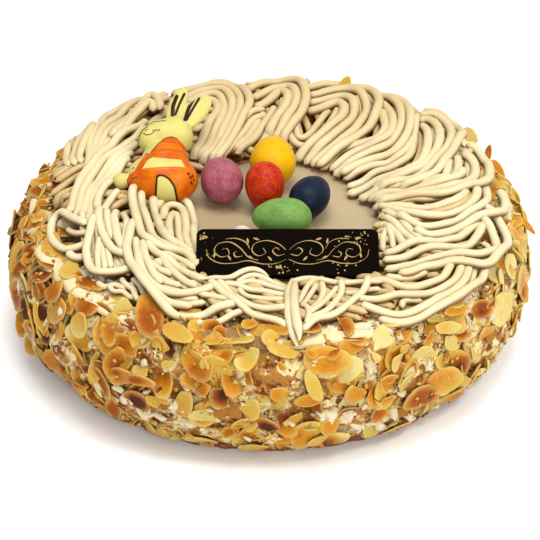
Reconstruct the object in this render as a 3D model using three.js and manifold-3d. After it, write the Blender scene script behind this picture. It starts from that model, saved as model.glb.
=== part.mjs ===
// Praline nest cake, about 20 cm across: a cream-masked sponge cake coated with toasted almond flakes.
// On its flat top a nest of piped praline buttercream holds sugar eggs, a chocolate plaque and a
// moulded sugar rabbit. Millimetres, +Z up. The origin is the centre of the base and -Y is the front.
import * as THREE from 'three';
import { mergeVertices } from 'three/addons/utils/BufferGeometryUtils.js';
import Module from 'manifold-3d';

const wasm = await Module();
wasm.setup();

// Cake: driving dimensions
const GAP = 0.3; // clearance that separate pieces keep where they touch
const ROUND_SEGMENTS = 36;
const BASE_HEIGHT = 4; // sponge foot that shows below the cream
const BASE_RADIUS = 86.5;
const BODY_TOP = 46; // flat top of the masked cake
const TOP_RADIUS = 92; // where the shoulder meets the flat top
const LAYER_HEIGHT = 2; // smooth praline cream on the top
const LAYER_RADIUS = 90.5;
const FLOOR = BODY_TOP + GAP + LAYER_HEIGHT; // what the nest and the eggs stand on
// Wall of the masked cake with its rounded foot and shoulder: height, radius
const WALL = [[BASE_HEIGHT + GAP, 88.5], [10, 93], [18, 96], [30, 96.8], [42, 94.8], [BODY_TOP, TOP_RADIUS]];

// Almond flakes pressed into the wall
const FLAKE_COUNT = 74;
const FLAKE_HEIGHTS = [10, 43];
const FLAKE_LENGTH = [14, 21];
const FLAKE_WIDTH_RATIO = [0.52, 0.74];
const FLAKE_THICKNESS = 3.6;
const FLAKE_SINK = 1.8; // how far a flake's back is pressed into the cream
const FLAKE_OVAL = [[-1, 0], [-0.5, -0.9], [0.4, -0.9], [1, 0], [0.4, 0.9], [-0.5, 0.9]];
const FLAKE_BROKEN = [[-0.6, -0.9], [0.6, -0.9], [1, 0.2], [0.2, 1], [-0.8, 0.5]];
const BROKEN_SHARE = 0.35;
const GOLDEN_ANGLE = 137.508;

// Nest: a ring core with the bundles of strands that the nozzle laid on it
const NEST_CENTRE = [4, 0];
const NEST_INNER_RADIUS = 34;
const NEST_OUTER_RADIUS = 90;
const CREST_BACK = 9.4; // height of the core at the back and at the front
const CREST_FRONT = 2.2;
const CREST_SHIFT = 2; // above 1 the crest lies nearer the outer edge
const CORE_RADII = [42, 54, 68, 80];
const CORE_EDGE = 0.8;
const NEST_ROOT = 2; // the solids reach this far down before the underside is cut flat
const CORE_SEGMENTS = 26;
const STRAND_PITCH = 3.9;
const STRAND_HEIGHT = 3.6; // top of a strand over the core
const VALLEY_HEIGHT = 2.3; // groove between two strands
const STEP_LENGTH = 20; // a step of a sweep is this long, or turns by this angle
const STEP_TURN = 36;
// Sweeps of the nozzle: strands side by side, lift over the core, and where the middle strand goes
const SWEEPS = [
  [3, 0.2, [[-56, 64], [-70, 48], [-80, 28], [-79, 8]]],
  [4, 0.6, [[-45, 76], [-57, 55], [-67, 31], [-70, 9], [-74, -13]]],
  [3, 0, [[-50, 46], [-57, 31], [-61, 16], [-63, -1], [-66, -18]]],
  [4, 0.8, [[-26, 40], [-31, 57], [-26, 74], [-14, 74], [-14, 54], [-20, 36]]],
  [4, 0.3, [[-11, 39], [-9, 54], [-6, 70], [5, 78], [12, 66], [6, 53], [-9, 37]]],
  [4, 0.9, [[8, 39], [14, 54], [20, 70], [33, 75], [39, 61], [30, 47], [11, 34]]],
  [4, 0.2, [[40, 68], [50, 71], [53, 55], [48, 41], [36, 36], [23, 31]]],
  [4, 0.7, [[54, 55], [62, 58], [65, 44], [59, 30], [44, 25], [30, 18]]],
  [4, 0.1, [[68, 53], [72, 39], [67, 22], [52, 14], [35, 9]]],
  [4, 0.6, [[74, 38], [81, 26], [80, 10], [66, -1], [43, -5]]],
  [4, 0, [[58, 0], [74, 5], [80, -5], [75, -17], [60, -22], [42, -22]]],
  [4, 0.7, [[60, -15], [74, -19], [79, -31], [73, -42], [60, -47], [44, -44]]],
  [4, 0.2, [[76, -41], [71, -54], [58, -66], [42, -72], [26, -73]]],
  [3, 0.7, [[70, -47], [58, -59], [42, -65], [24, -66]]],
  [3, 0.5, [[-77, -12], [-79, -24], [-71, -37], [-60, -39]]],
  [4, 0.2, [[-62, -11], [-65, -28], [-62, -44], [-50, -58], [-34, -66]]],
  [4, 0.7, [[-53, -3], [-54, -23], [-50, -43], [-40, -57], [-26, -66], [-10, -69]]],
  [4, 0.3, [[-43, -2], [-44, -18], [-39, -36], [-31, -50]]],
  [3, 0.9, [[-38, -33], [-38, -13], [-33, -7], [-30, -17], [-31, -38]]],
  [3, 0.2, [[-34, -73], [-16, -73], [4, -75], [22, -77]]],
  [3, 0.7, [[-26, -59], [-14, -56], [0, -58], [14, -63], [28, -64]]],
  ];

// Sugar eggs: centre on the plan, half length, half width, heading and tilt of the long axis
const EGGS = [
  { name: 'egg_pink', at: [-18.2, 8], half: [10.4, 8.1], heading: 100, tilt: 4, color: 0xb9657f },
  { name: 'egg_yellow', at: [1.2, 20.6], half: [11, 8.8], heading: 90, tilt: 14, color: 0xf2b705 },
  { name: 'egg_red', at: [-1.8, 0.6], half: [9.6, 7.4], heading: 94, tilt: 58, color: 0xc92a10 },
  { name: 'egg_blue', at: [15.4, -3], half: [10.4, 7.3], heading: 66, tilt: 0, color: 0x142c50 },
  { name: 'egg_green', at: [4.5, -18.6], half: [11.2, 7.4], heading: -3, tilt: 0, color: 0x76b567 },
];
const EGG_SEGMENTS = 12;
const EGG_ROWS = 8;
const EGG_TAPER = 0.14; // how much narrower the pointed end is

// Chocolate plaque, and the dab of cream that its back edge leans on
const PLAQUE = { width: 66, depth: 20, thickness: 2.4, corner: 2.4, at: [6.5, -41, 54.8], tilt: 26.5 };
const DAB = { at: [-10, -28.6], radius: 6.6, height: 10.6 };

// Rabbit: where the middle of its body lies, and its parts as ellipsoids [centre, half sizes, lean]
const RABBIT = { at: [-40.8, 9, 60.6], tilt: 19, lean: -9 };
const RABBIT_PARTS = [
  { centre: [0, -1, 0], half: [13.2, 14, 9], lean: 0, sides: 14, rows: 8 },
  { centre: [0.4, 15.6, 1], half: [9.6, 8.4, 7.6], lean: 0, sides: 12, rows: 7 },
  { centre: [-7.8, 14.2, 3], half: [4.8, 4.2, 4.2], lean: 0, sides: 8, rows: 6 },
  { centre: [0.3, 30.5, 1.5], half: [3.7, 9.4, 2.1], lean: -7, sides: 8, rows: 6 },
  { centre: [7.4, 29, 1.5], half: [3.7, 8.8, 2.1], lean: -19, sides: 8, rows: 6 },
  { centre: [-14.6, -5.5, 0.5], half: [3.6, 3, 3], lean: 20, sides: 8, rows: 6 },
];

/** Repeatable value from 0 to 1 for a whole number. */
function chance(n) {
  const s = Math.sin(n * 12.9898 + 4.1414) * 43758.5453;
  return s - Math.floor(s);
}

const between = (low, high, share) => low + (high - low) * share;
const radians = (degrees) => (degrees * Math.PI) / 180;

/** Radius of the cream wall at a height. */
function wallRadius(height) {
  for (let i = 1; i < WALL.length; i += 1) {
    const [low, lowRadius] = WALL[i - 1];
    const [high, highRadius] = WALL[i];
    if (height <= high) return between(lowRadius, highRadius, (height - low) / (high - low));
  }
  return TOP_RADIUS;
}

/** three.js geometry to a manifold solid. */
function toSolid(geometry) {
  const bare = geometry.clone();
  for (const name of Object.keys(bare.attributes)) {
    if (name !== 'position') bare.deleteAttribute(name);
  }
  const merged = mergeVertices(bare, 1e-4);
  const vertProperties = Float32Array.from(merged.attributes.position.array);
  const triVerts = Uint32Array.from(merged.index.array);
  return new wasm.Manifold(new wasm.Mesh({ numProp: 3, vertProperties, triVerts }));
}

/** Manifold solid to a three.js geometry. */
function toGeometry(solid) {
  const mesh = solid.getMesh();
  const geometry = new THREE.BufferGeometry();
  geometry.setAttribute('position', new THREE.BufferAttribute(Float32Array.from(mesh.vertProperties), 3));
  geometry.setIndex(new THREE.BufferAttribute(Uint32Array.from(mesh.triVerts), 1));
  geometry.computeVertexNormals();
  return geometry;
}

/** The largest of a solid's separate bodies. */
function mainBody(solid) {
  return solid.decompose().reduce((best, body) => (body.volume() > best.volume() ? body : best));
}

function unite(solids) {
  return wasm.Manifold.union(solids);
}

function named(name, geometry, color, roughness) {
  const material = new THREE.MeshStandardMaterial({ color, roughness, metalness: 0, flatShading: true });
  const mesh = new THREE.Mesh(geometry, material);
  mesh.name = name;
  return mesh;
}

/** Closed solid of revolution about Z from [radius, height] pairs, upwards along the outside. */
function turned(profile) {
  const points = profile.map(([radius, height]) => new THREE.Vector2(radius, height));
  return new THREE.LatheGeometry(points, ROUND_SEGMENTS).rotateX(Math.PI / 2);
}

/** Ellipsoid of few facets with its long axis along Y. */
function ellipsoid(half, sides, rows) {
  return new THREE.SphereGeometry(1, sides, rows).scale(...half);
}

function spongeBase() {
  const profile = [[0, 0], [BASE_RADIUS - 1, 0], [BASE_RADIUS, 1.5], [BASE_RADIUS, BASE_HEIGHT], [0, BASE_HEIGHT]];
  return named('sponge_base', turned(profile), 0x9c5a26, 0.95);
}

/** One almond flake, flat in XY with its long axis along X, whole or broken. */
function flakeGeometry(length, width, broken) {
  const outline = broken ? FLAKE_BROKEN : FLAKE_OVAL;
  const shape = new THREE.Shape(outline.map(([x, y]) => new THREE.Vector2((x * length) / 2, (y * width) / 2)));
  return new THREE.ExtrudeGeometry(shape, { depth: FLAKE_THICKNESS, bevelEnabled: false });
}

/** Flake number i, pressed into the wall where a spiral of golden angles puts it. */
function placedFlake(i) {
  const height = between(...FLAKE_HEIGHTS, (i + 0.5) / FLAKE_COUNT);
  const angle = GOLDEN_ANGLE * i + between(-5, 5, chance(i + 300));
  const slope = Math.atan2(wallRadius(height - 2) - wallRadius(height + 2), 4);
  const length = between(...FLAKE_LENGTH, chance(i + 20));
  const width = length * between(...FLAKE_WIDTH_RATIO, chance(i + 50));
  const flake = flakeGeometry(length, width, chance(i + 80) < BROKEN_SHARE);
  flake.translate(0, 0, -FLAKE_SINK);
  flake.rotateZ(between(-1.9, 1.9, chance(i + 110)));
  flake.rotateX(between(-0.1, 0.2, chance(i + 140)));
  flake.rotateY(between(-0.15, 0.15, chance(i + 170)));
  flake.rotateX(Math.PI / 2 - slope);
  flake.rotateZ(Math.PI / 2);
  flake.translate(wallRadius(height), 0, height);
  flake.rotateZ(radians(angle));
  return toSolid(flake);
}

/** Cream-masked cake with the flakes pressed into its wall. */
function cakeBody() {
  const foot = BASE_HEIGHT + GAP;
  const wall = WALL.map(([height, radius]) => [radius, height]);
  const body = toSolid(turned([[0, foot], ...wall, [0, BODY_TOP]]));
  const flakes = Array.from({ length: FLAKE_COUNT }, (_, i) => placedFlake(i));
  const clear = LAYER_RADIUS + 1;
  const above = toSolid(turned([[0, BODY_TOP], [clear, BODY_TOP], [clear, 80], [0, 80]]));
  const coated = unite([body, ...flakes]).subtract(above);
  return named('cake_body', toGeometry(mainBody(coated)), 0xd9a55a, 0.7);
}

function topCream() {
  const low = BODY_TOP + GAP;
  const profile = [[0, low], [LAYER_RADIUS, low], [LAYER_RADIUS - 1, FLOOR], [0, FLOOR]];
  return named('top_cream', turned(profile), 0xcdb9a0, 0.4);
}

/** Height of the nest's ring core over its underside: highest at the back, thin at both edges. */
function coreRise(x, y) {
  const dx = x - NEST_CENTRE[0];
  const dy = y - NEST_CENTRE[1];
  const radius = Math.hypot(dx, dy);
  const share = (radius - NEST_INNER_RADIUS) / (NEST_OUTER_RADIUS - NEST_INNER_RADIUS);
  if (share <= 0 || share >= 1) return 0;
  const crest = between(CREST_FRONT, CREST_BACK, Math.pow(0.5 + dy / radius / 2, 0.7));
  return crest * Math.sqrt(Math.sin(Math.PI * Math.pow(share, CREST_SHIFT)));
}

/** Closed solid from rings of points that all run the same way round; a loop joins the last ring to the first. */
function skinned(rings, loop) {
  const count = rings[0].length;
  const positions = rings.flat().flatMap((point) => point.toArray());
  const index = [];
  for (let i = loop ? 0 : 1; i < rings.length; i += 1) {
    const near = ((i + rings.length - 1) % rings.length) * count;
    const far = i * count;
    for (let j = 0; j < count; j += 1) {
      const next = (j + 1) % count;
      index.push(near + j, far + next, far + j, near + j, near + next, far + next);
    }
  }
  const last = (rings.length - 1) * count;
  for (let j = 1; j < count - 1 && !loop; j += 1) {
    index.push(0, j + 1, j);
    index.push(last, last + j, last + j + 1);
  }
  const geometry = new THREE.BufferGeometry();
  geometry.setAttribute('position', new THREE.Float32BufferAttribute(positions, 3));
  geometry.setIndex(index);
  return toSolid(geometry);
}

/** Everything below the underside of the pieces that stand on the top cream. */
function belowToppings() {
  return toSolid(turned([[0, 0], [120, 0], [120, FLOOR + GAP], [0, FLOOR + GAP]]));
}

/** Low ring that joins the bundles and closes the gaps between them. */
function nestCore() {
  const low = FLOOR + GAP;
  const rings = [];
  for (let i = 0; i < CORE_SEGMENTS; i += 1) {
    const angle = (2 * Math.PI * i) / CORE_SEGMENTS;
    const ring = [new THREE.Vector2(CORE_RADII[0], -1), ...CORE_RADII.map((radius) => new THREE.Vector2(radius, 0)),
      new THREE.Vector2(CORE_RADII[CORE_RADII.length - 1], -1)];
    rings.push(ring.map(({ x: radius, y: under }) => {
      const x = NEST_CENTRE[0] + radius * Math.cos(angle);
      const y = NEST_CENTRE[1] + radius * Math.sin(angle);
      return new THREE.Vector3(x, y, under < 0 ? low - NEST_ROOT : low + CORE_EDGE + coreRise(x, y));
    }));
  }
  return skinned(rings, true);
}

/** Places on a curve that are a step apart, by length or by turn, from 0 to 1. */
function sweepSteps(curve) {
  const samples = 60;
  const costs = [0];
  for (let i = 1; i <= samples; i += 1) {
    const turn = curve.getTangentAt((i - 1) / samples).angleTo(curve.getTangentAt(i / samples));
    costs.push(costs[i - 1] + curve.getLength() / samples / STEP_LENGTH + turn / radians(STEP_TURN));
  }
  const steps = Math.round(costs[samples]);
  return Array.from({ length: steps + 1 }, (_, k) => {
    const cost = (costs[samples] * k) / steps;
    return Math.max(0, costs.findIndex((value) => value >= cost - 1e-9)) / samples;
  });
}

/** Point of a sweep, drawn in towards the cake's axis where its bundle would hang over the rim. */
function withinRim([x, y], width) {
  const reach = Math.hypot(x, y);
  const limit = LAYER_RADIUS - 1.2 - width / 2;
  const share = Math.min(1, limit / reach);
  return new THREE.Vector3(x * share, y * share, 0);
}

/** Bundle of strands laid along a sweep: a corrugated ribbon that reaches down to the nest's underside. */
function bundle([strands, lift, points], number) {
  const low = FLOOR + GAP;
  const width = strands * STRAND_PITCH;
  const curve = new THREE.CatmullRomCurve3(points.map((point) => withinRim(point, width)), false, 'centripetal');
  const rings = sweepSteps(curve).map((place) => {
    const middle = curve.getPointAt(place);
    const tangent = curve.getTangentAt(place);
    const side = new THREE.Vector3(tangent.y, -tangent.x, 0);
    const at = (offset, height) => {
      const point = middle.clone().addScaledVector(side, offset);
      point.z = height > 0 ? low + coreRise(point.x, point.y) + lift + height : low - NEST_ROOT - 0.1 * number;
      return point;
    };
    const ring = [at(-width / 2, 0)];
    for (let j = 0; j < strands; j += 1) {
      const offset = (j + 0.5) * STRAND_PITCH - width / 2;
      ring.push(at(offset, STRAND_HEIGHT));
      if (j < strands - 1) ring.push(at(offset + STRAND_PITCH / 2, VALLEY_HEIGHT));
    }
    ring.push(at(width / 2, 0));
    return ring;
  });
  return skinned(rings, false);
}

/** The piped nest, cut back round the pieces that sit in it. */
function nest(guests) {
  const piped = unite([nestCore(), ...SWEEPS.map(bundle)]);
  const cut = [belowToppings(), ...guests].reduce((left, piece) => left.subtract(piece), piped);
  return named('nest', toGeometry(mainBody(cut)), 0xe8d3ac, 0.55);
}

/** Egg-shaped geometry lying on the top cream; grow widens it all round. */
function eggGeometry(egg, grow) {
  const [long, wide] = egg.half;
  const profile = [];
  for (let i = 0; i <= EGG_ROWS; i += 1) {
    const along = -Math.cos((Math.PI * i) / EGG_ROWS);
    const round = Math.sin((Math.PI * i) / EGG_ROWS) * (1 - EGG_TAPER * along);
    profile.push(new THREE.Vector2(i % EGG_ROWS === 0 ? 0 : round * (wide + grow), along * (long + grow)));
  }
  const tilt = radians(egg.tilt);
  const rest = Math.hypot(long * Math.sin(tilt), wide * Math.cos(tilt)) * (1 + EGG_TAPER / 2);
  const shape = new THREE.LatheGeometry(profile, EGG_SEGMENTS);
  shape.rotateX(tilt);
  shape.rotateZ(radians(egg.heading - 90));
  shape.translate(egg.at[0], egg.at[1], FLOOR + GAP + rest);
  return shape;
}

/** Plaque with rounded corners, leaning back; grow widens it all round. */
function plaqueGeometry(grow) {
  const w = PLAQUE.width / 2 + grow;
  const d = PLAQUE.depth / 2 + grow;
  const c = PLAQUE.corner;
  const outline = [[-w + c, -d], [w - c, -d], [w - 0.3 * c, -d + 0.3 * c], [w, -d + c], [w, d - c],
    [w - 0.3 * c, d - 0.3 * c], [w - c, d], [-w + c, d], [-w + 0.3 * c, d - 0.3 * c], [-w, d - c],
    [-w, -d + c], [-w + 0.3 * c, -d + 0.3 * c]];
  const shape = new THREE.Shape(outline.map(([x, y]) => new THREE.Vector2(x, y)));
  const slab = new THREE.ExtrudeGeometry(shape, { depth: PLAQUE.thickness + 2 * grow, bevelEnabled: false });
  slab.translate(0, 0, -PLAQUE.thickness / 2 - grow);
  slab.rotateX(radians(PLAQUE.tilt));
  slab.translate(...PLAQUE.at);
  return slab;
}

/** Rabbit lying on its back in the nest; grow widens every part. */
function rabbitSolid(grow) {
  const parts = RABBIT_PARTS.map(({ centre, half, lean, sides, rows }) => {
    const part = ellipsoid(half.map((value) => value + grow), sides, rows);
    part.rotateZ(radians(lean));
    part.translate(...centre);
    part.rotateZ(radians(RABBIT.lean));
    part.rotateX(radians(RABBIT.tilt));
    part.translate(...RABBIT.at);
    return toSolid(part);
  });
  return unite(parts);
}

/** Dab of cream under the plaque's back edge. */
function creamDab() {
  const blob = ellipsoid([DAB.radius, DAB.height, DAB.radius], 12, 8).rotateX(Math.PI / 2);
  blob.translate(DAB.at[0], DAB.at[1], FLOOR + GAP);
  const dab = toSolid(blob).subtract(belowToppings()).subtract(toSolid(plaqueGeometry(GAP)));
  return named('cream_dab', toGeometry(mainBody(dab)), 0xf3e6cd, 0.5);
}

const guests = [toSolid(plaqueGeometry(GAP)), rabbitSolid(GAP), ...EGGS.map((egg) => toSolid(eggGeometry(egg, GAP)))];
const cake = new THREE.Group();
cake.add(spongeBase(), cakeBody(), topCream(), nest(guests), creamDab());
for (const egg of EGGS) cake.add(named(egg.name, eggGeometry(egg, 0), egg.color, 0.3));
cake.add(named('plaque', plaqueGeometry(0), 0x140806, 0.15));
cake.add(named('rabbit', toGeometry(rabbitSolid(0)), 0xe9dc8c, 0.4));

export default cake;
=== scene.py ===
"""Looks of the praline nest cake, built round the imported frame. Shapes are worked out in millimetres."""

import math
import random

import bpy
import numpy as np
from mathutils import Matrix, Vector
from mathutils.bvhtree import BVHTree


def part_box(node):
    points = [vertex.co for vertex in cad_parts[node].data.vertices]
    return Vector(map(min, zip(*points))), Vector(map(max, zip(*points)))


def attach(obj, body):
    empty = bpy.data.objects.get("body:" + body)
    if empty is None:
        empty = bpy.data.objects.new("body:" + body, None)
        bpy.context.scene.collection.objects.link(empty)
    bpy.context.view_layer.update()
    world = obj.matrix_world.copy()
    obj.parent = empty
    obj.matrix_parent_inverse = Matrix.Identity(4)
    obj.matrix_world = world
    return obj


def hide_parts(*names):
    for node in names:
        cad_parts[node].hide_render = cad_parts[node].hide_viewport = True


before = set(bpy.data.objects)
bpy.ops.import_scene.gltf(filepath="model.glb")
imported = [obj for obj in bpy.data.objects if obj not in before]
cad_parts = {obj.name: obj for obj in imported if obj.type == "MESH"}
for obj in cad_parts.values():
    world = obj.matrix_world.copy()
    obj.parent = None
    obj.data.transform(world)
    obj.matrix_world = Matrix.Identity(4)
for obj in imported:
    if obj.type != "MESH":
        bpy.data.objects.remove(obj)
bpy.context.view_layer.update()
MM = 0.001


def box_mm(node):
    """Lowest and highest corner of a CAD node in millimetres."""
    low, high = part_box(node)
    return np.array(low) / MM, np.array(high) / MM


# Levels and radii of the cake, read from the frame
CREAM_LOW, CREAM_HIGH = box_mm("top_cream")
BASE_RADIUS, _, BASE_HEIGHT = box_mm("sponge_base")[1]
CREAM_UNDERSIDE = CREAM_LOW[2]
RIM_RADIUS, _, FLOOR = CREAM_HIGH
# Wall of the masked cake: height, radius
WALL = [(4.3, 88.5), (10, 93), (18, 96), (30, 96.8), (42, 94.8), (46, 92.0), (47.6, 89.0)]
# Outside that the flakes lie on, from the foot over the rim: height, radius
SHELL = [(2.5, 87.4), (4.3, 88.9), (10, 93.2), (18, 96.2), (30, 97), (42, 95), (46, 92.4), (48.6, 89.2),
         (49.6, 85.5), (49.6, 79)]
SHELL_TOP = SHELL[-1][0]
# Outline that no flake passes: height, radius
ENVELOPE = [(0, 88.5), (3, 90.5), (10, 96), (20, 100), (40, 100.3), (50, 97)]
# Lowest and highest level of a flake
FLAKE_LEVELS = (2.4, 55)
# Section of the cream over the rim: radius, height
RIM_CREAM = [(90.2, 46.8), (91.2, 47.6), (90.3, 48.7), (88.6, 49.4), (86.4, 49.7), (84.0, 49.7), (81.5, 49.3),
             (79.2, 48.7), (77.5, 48.0), (80.0, 47.4), (86.0, 46.9)]
# Radii of the circles round which the unevenness of the wall, the foot and the rim is laid out
WALL_ROUND = 95
FOOT_ROUND = 86
RIM_ROUND = 85
# Points nearer to the axis than this lie under the cake and stay even
EVEN_RADIUS = 60

# Photograph's camera: target point, elevation, distance and focal length in pixels
PHOTO_PIXELS = 540
FOCAL_PIXELS = 2244
CAMERA_RISE = math.radians(31.5)
RISE_SINE = math.sin(CAMERA_RISE)
RISE_COSINE = math.cos(CAMERA_RISE)
CAMERA_DISTANCE = 850
PIXELS_PER_MM = FOCAL_PIXELS / CAMERA_DISTANCE
SENSOR_WIDTH = 36
TARGET = (0, 0, 47)
TARGET_PIXEL = (269.5, 213)
# Depths, from the photographer's side to the far side, at which sight lines are followed
FRONT_DEPTH = -101
DEPTH_STEP = 0.1
# How much brighter the studio is than a light that shows paints as they are; it keeps the floor white
LIGHT_GAIN = 1.4
# Lamps: place and width in metres, power in watts
LAMPS = {
    "overhead": ((0.0, 0.05, 2.2), 1.3, 24),
    "key": ((0.5, -0.28, 0.85), 0.22, 2.2),
    "fill": ((0.6, -1.75, 0.8), 1.0, 11.5),
}
LAMPS_AIM = Vector((0, 0, 0.03))
WORLD_STRENGTH = 0.5
FLOOR_REACH = 6.0

# Nest: the core under the strands
NEST_CENTRE = (4, 0)
NEST_INNER_RADIUS = 34
NEST_OUTER_RADIUS = 90
CREST_BACK = 11.8
CREST_FRONT = 3.2
# Power over 1 moves the crest outwards
CREST_POWER = 2
# The core is higher round one angle at the left: angle, spread and extra height
LEFT_CREST_ANGLE = math.radians(148)
LEFT_CREST_SPREAD = math.radians(22)
LEFT_CREST_RISE = 2.6
# Radius that the nest covers, and the angle, spread and depth of the place at the front left where it is less
NEST_COVER_RADIUS = 84
BARE_ANGLE = math.radians(-138)
BARE_SPREAD = math.radians(30)
BARE_DEPTH = 15
# The core lies lower than the traced strands by the layer of strands between them
CORE_DROP = 2.4
# Strands of the lower layer
UNDER_STRANDS = 112
UNDER_RADIUS = 1.6
# Steps along a strand while it is laid, and as it is drawn
PATH_STEP = 0.75
STRAND_STEP = 1.2
# How far a strand rises from the core to what it lies on, and how far its middle lies above that in radii
STRAND_REST = 0.74
STRAND_SEAT = 0.86
HEAPED_LENGTH = 24
# How far a strand sways from the course of its bundle
STRAND_SWAY = 0.22
# Samples over which the course of a strand is smoothed, before and after it is kept from sinking in
COURSE_SMOOTHING = (15, 7)
STRAND_SINKING = 0.6
# Room between a strand and a topping over it, and the fewest steps of a strand that is kept
STRAND_GAP = 0.15
FEWEST_STEPS = 8
# How far the nest stands over the edge of the smooth cream
NEST_OVERHANG = 3.2
# Strands of the far side that the photograph shows lie no further out than this
FAR_CREST_RADIUS = 80
FAR_SIDE = 55
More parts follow.
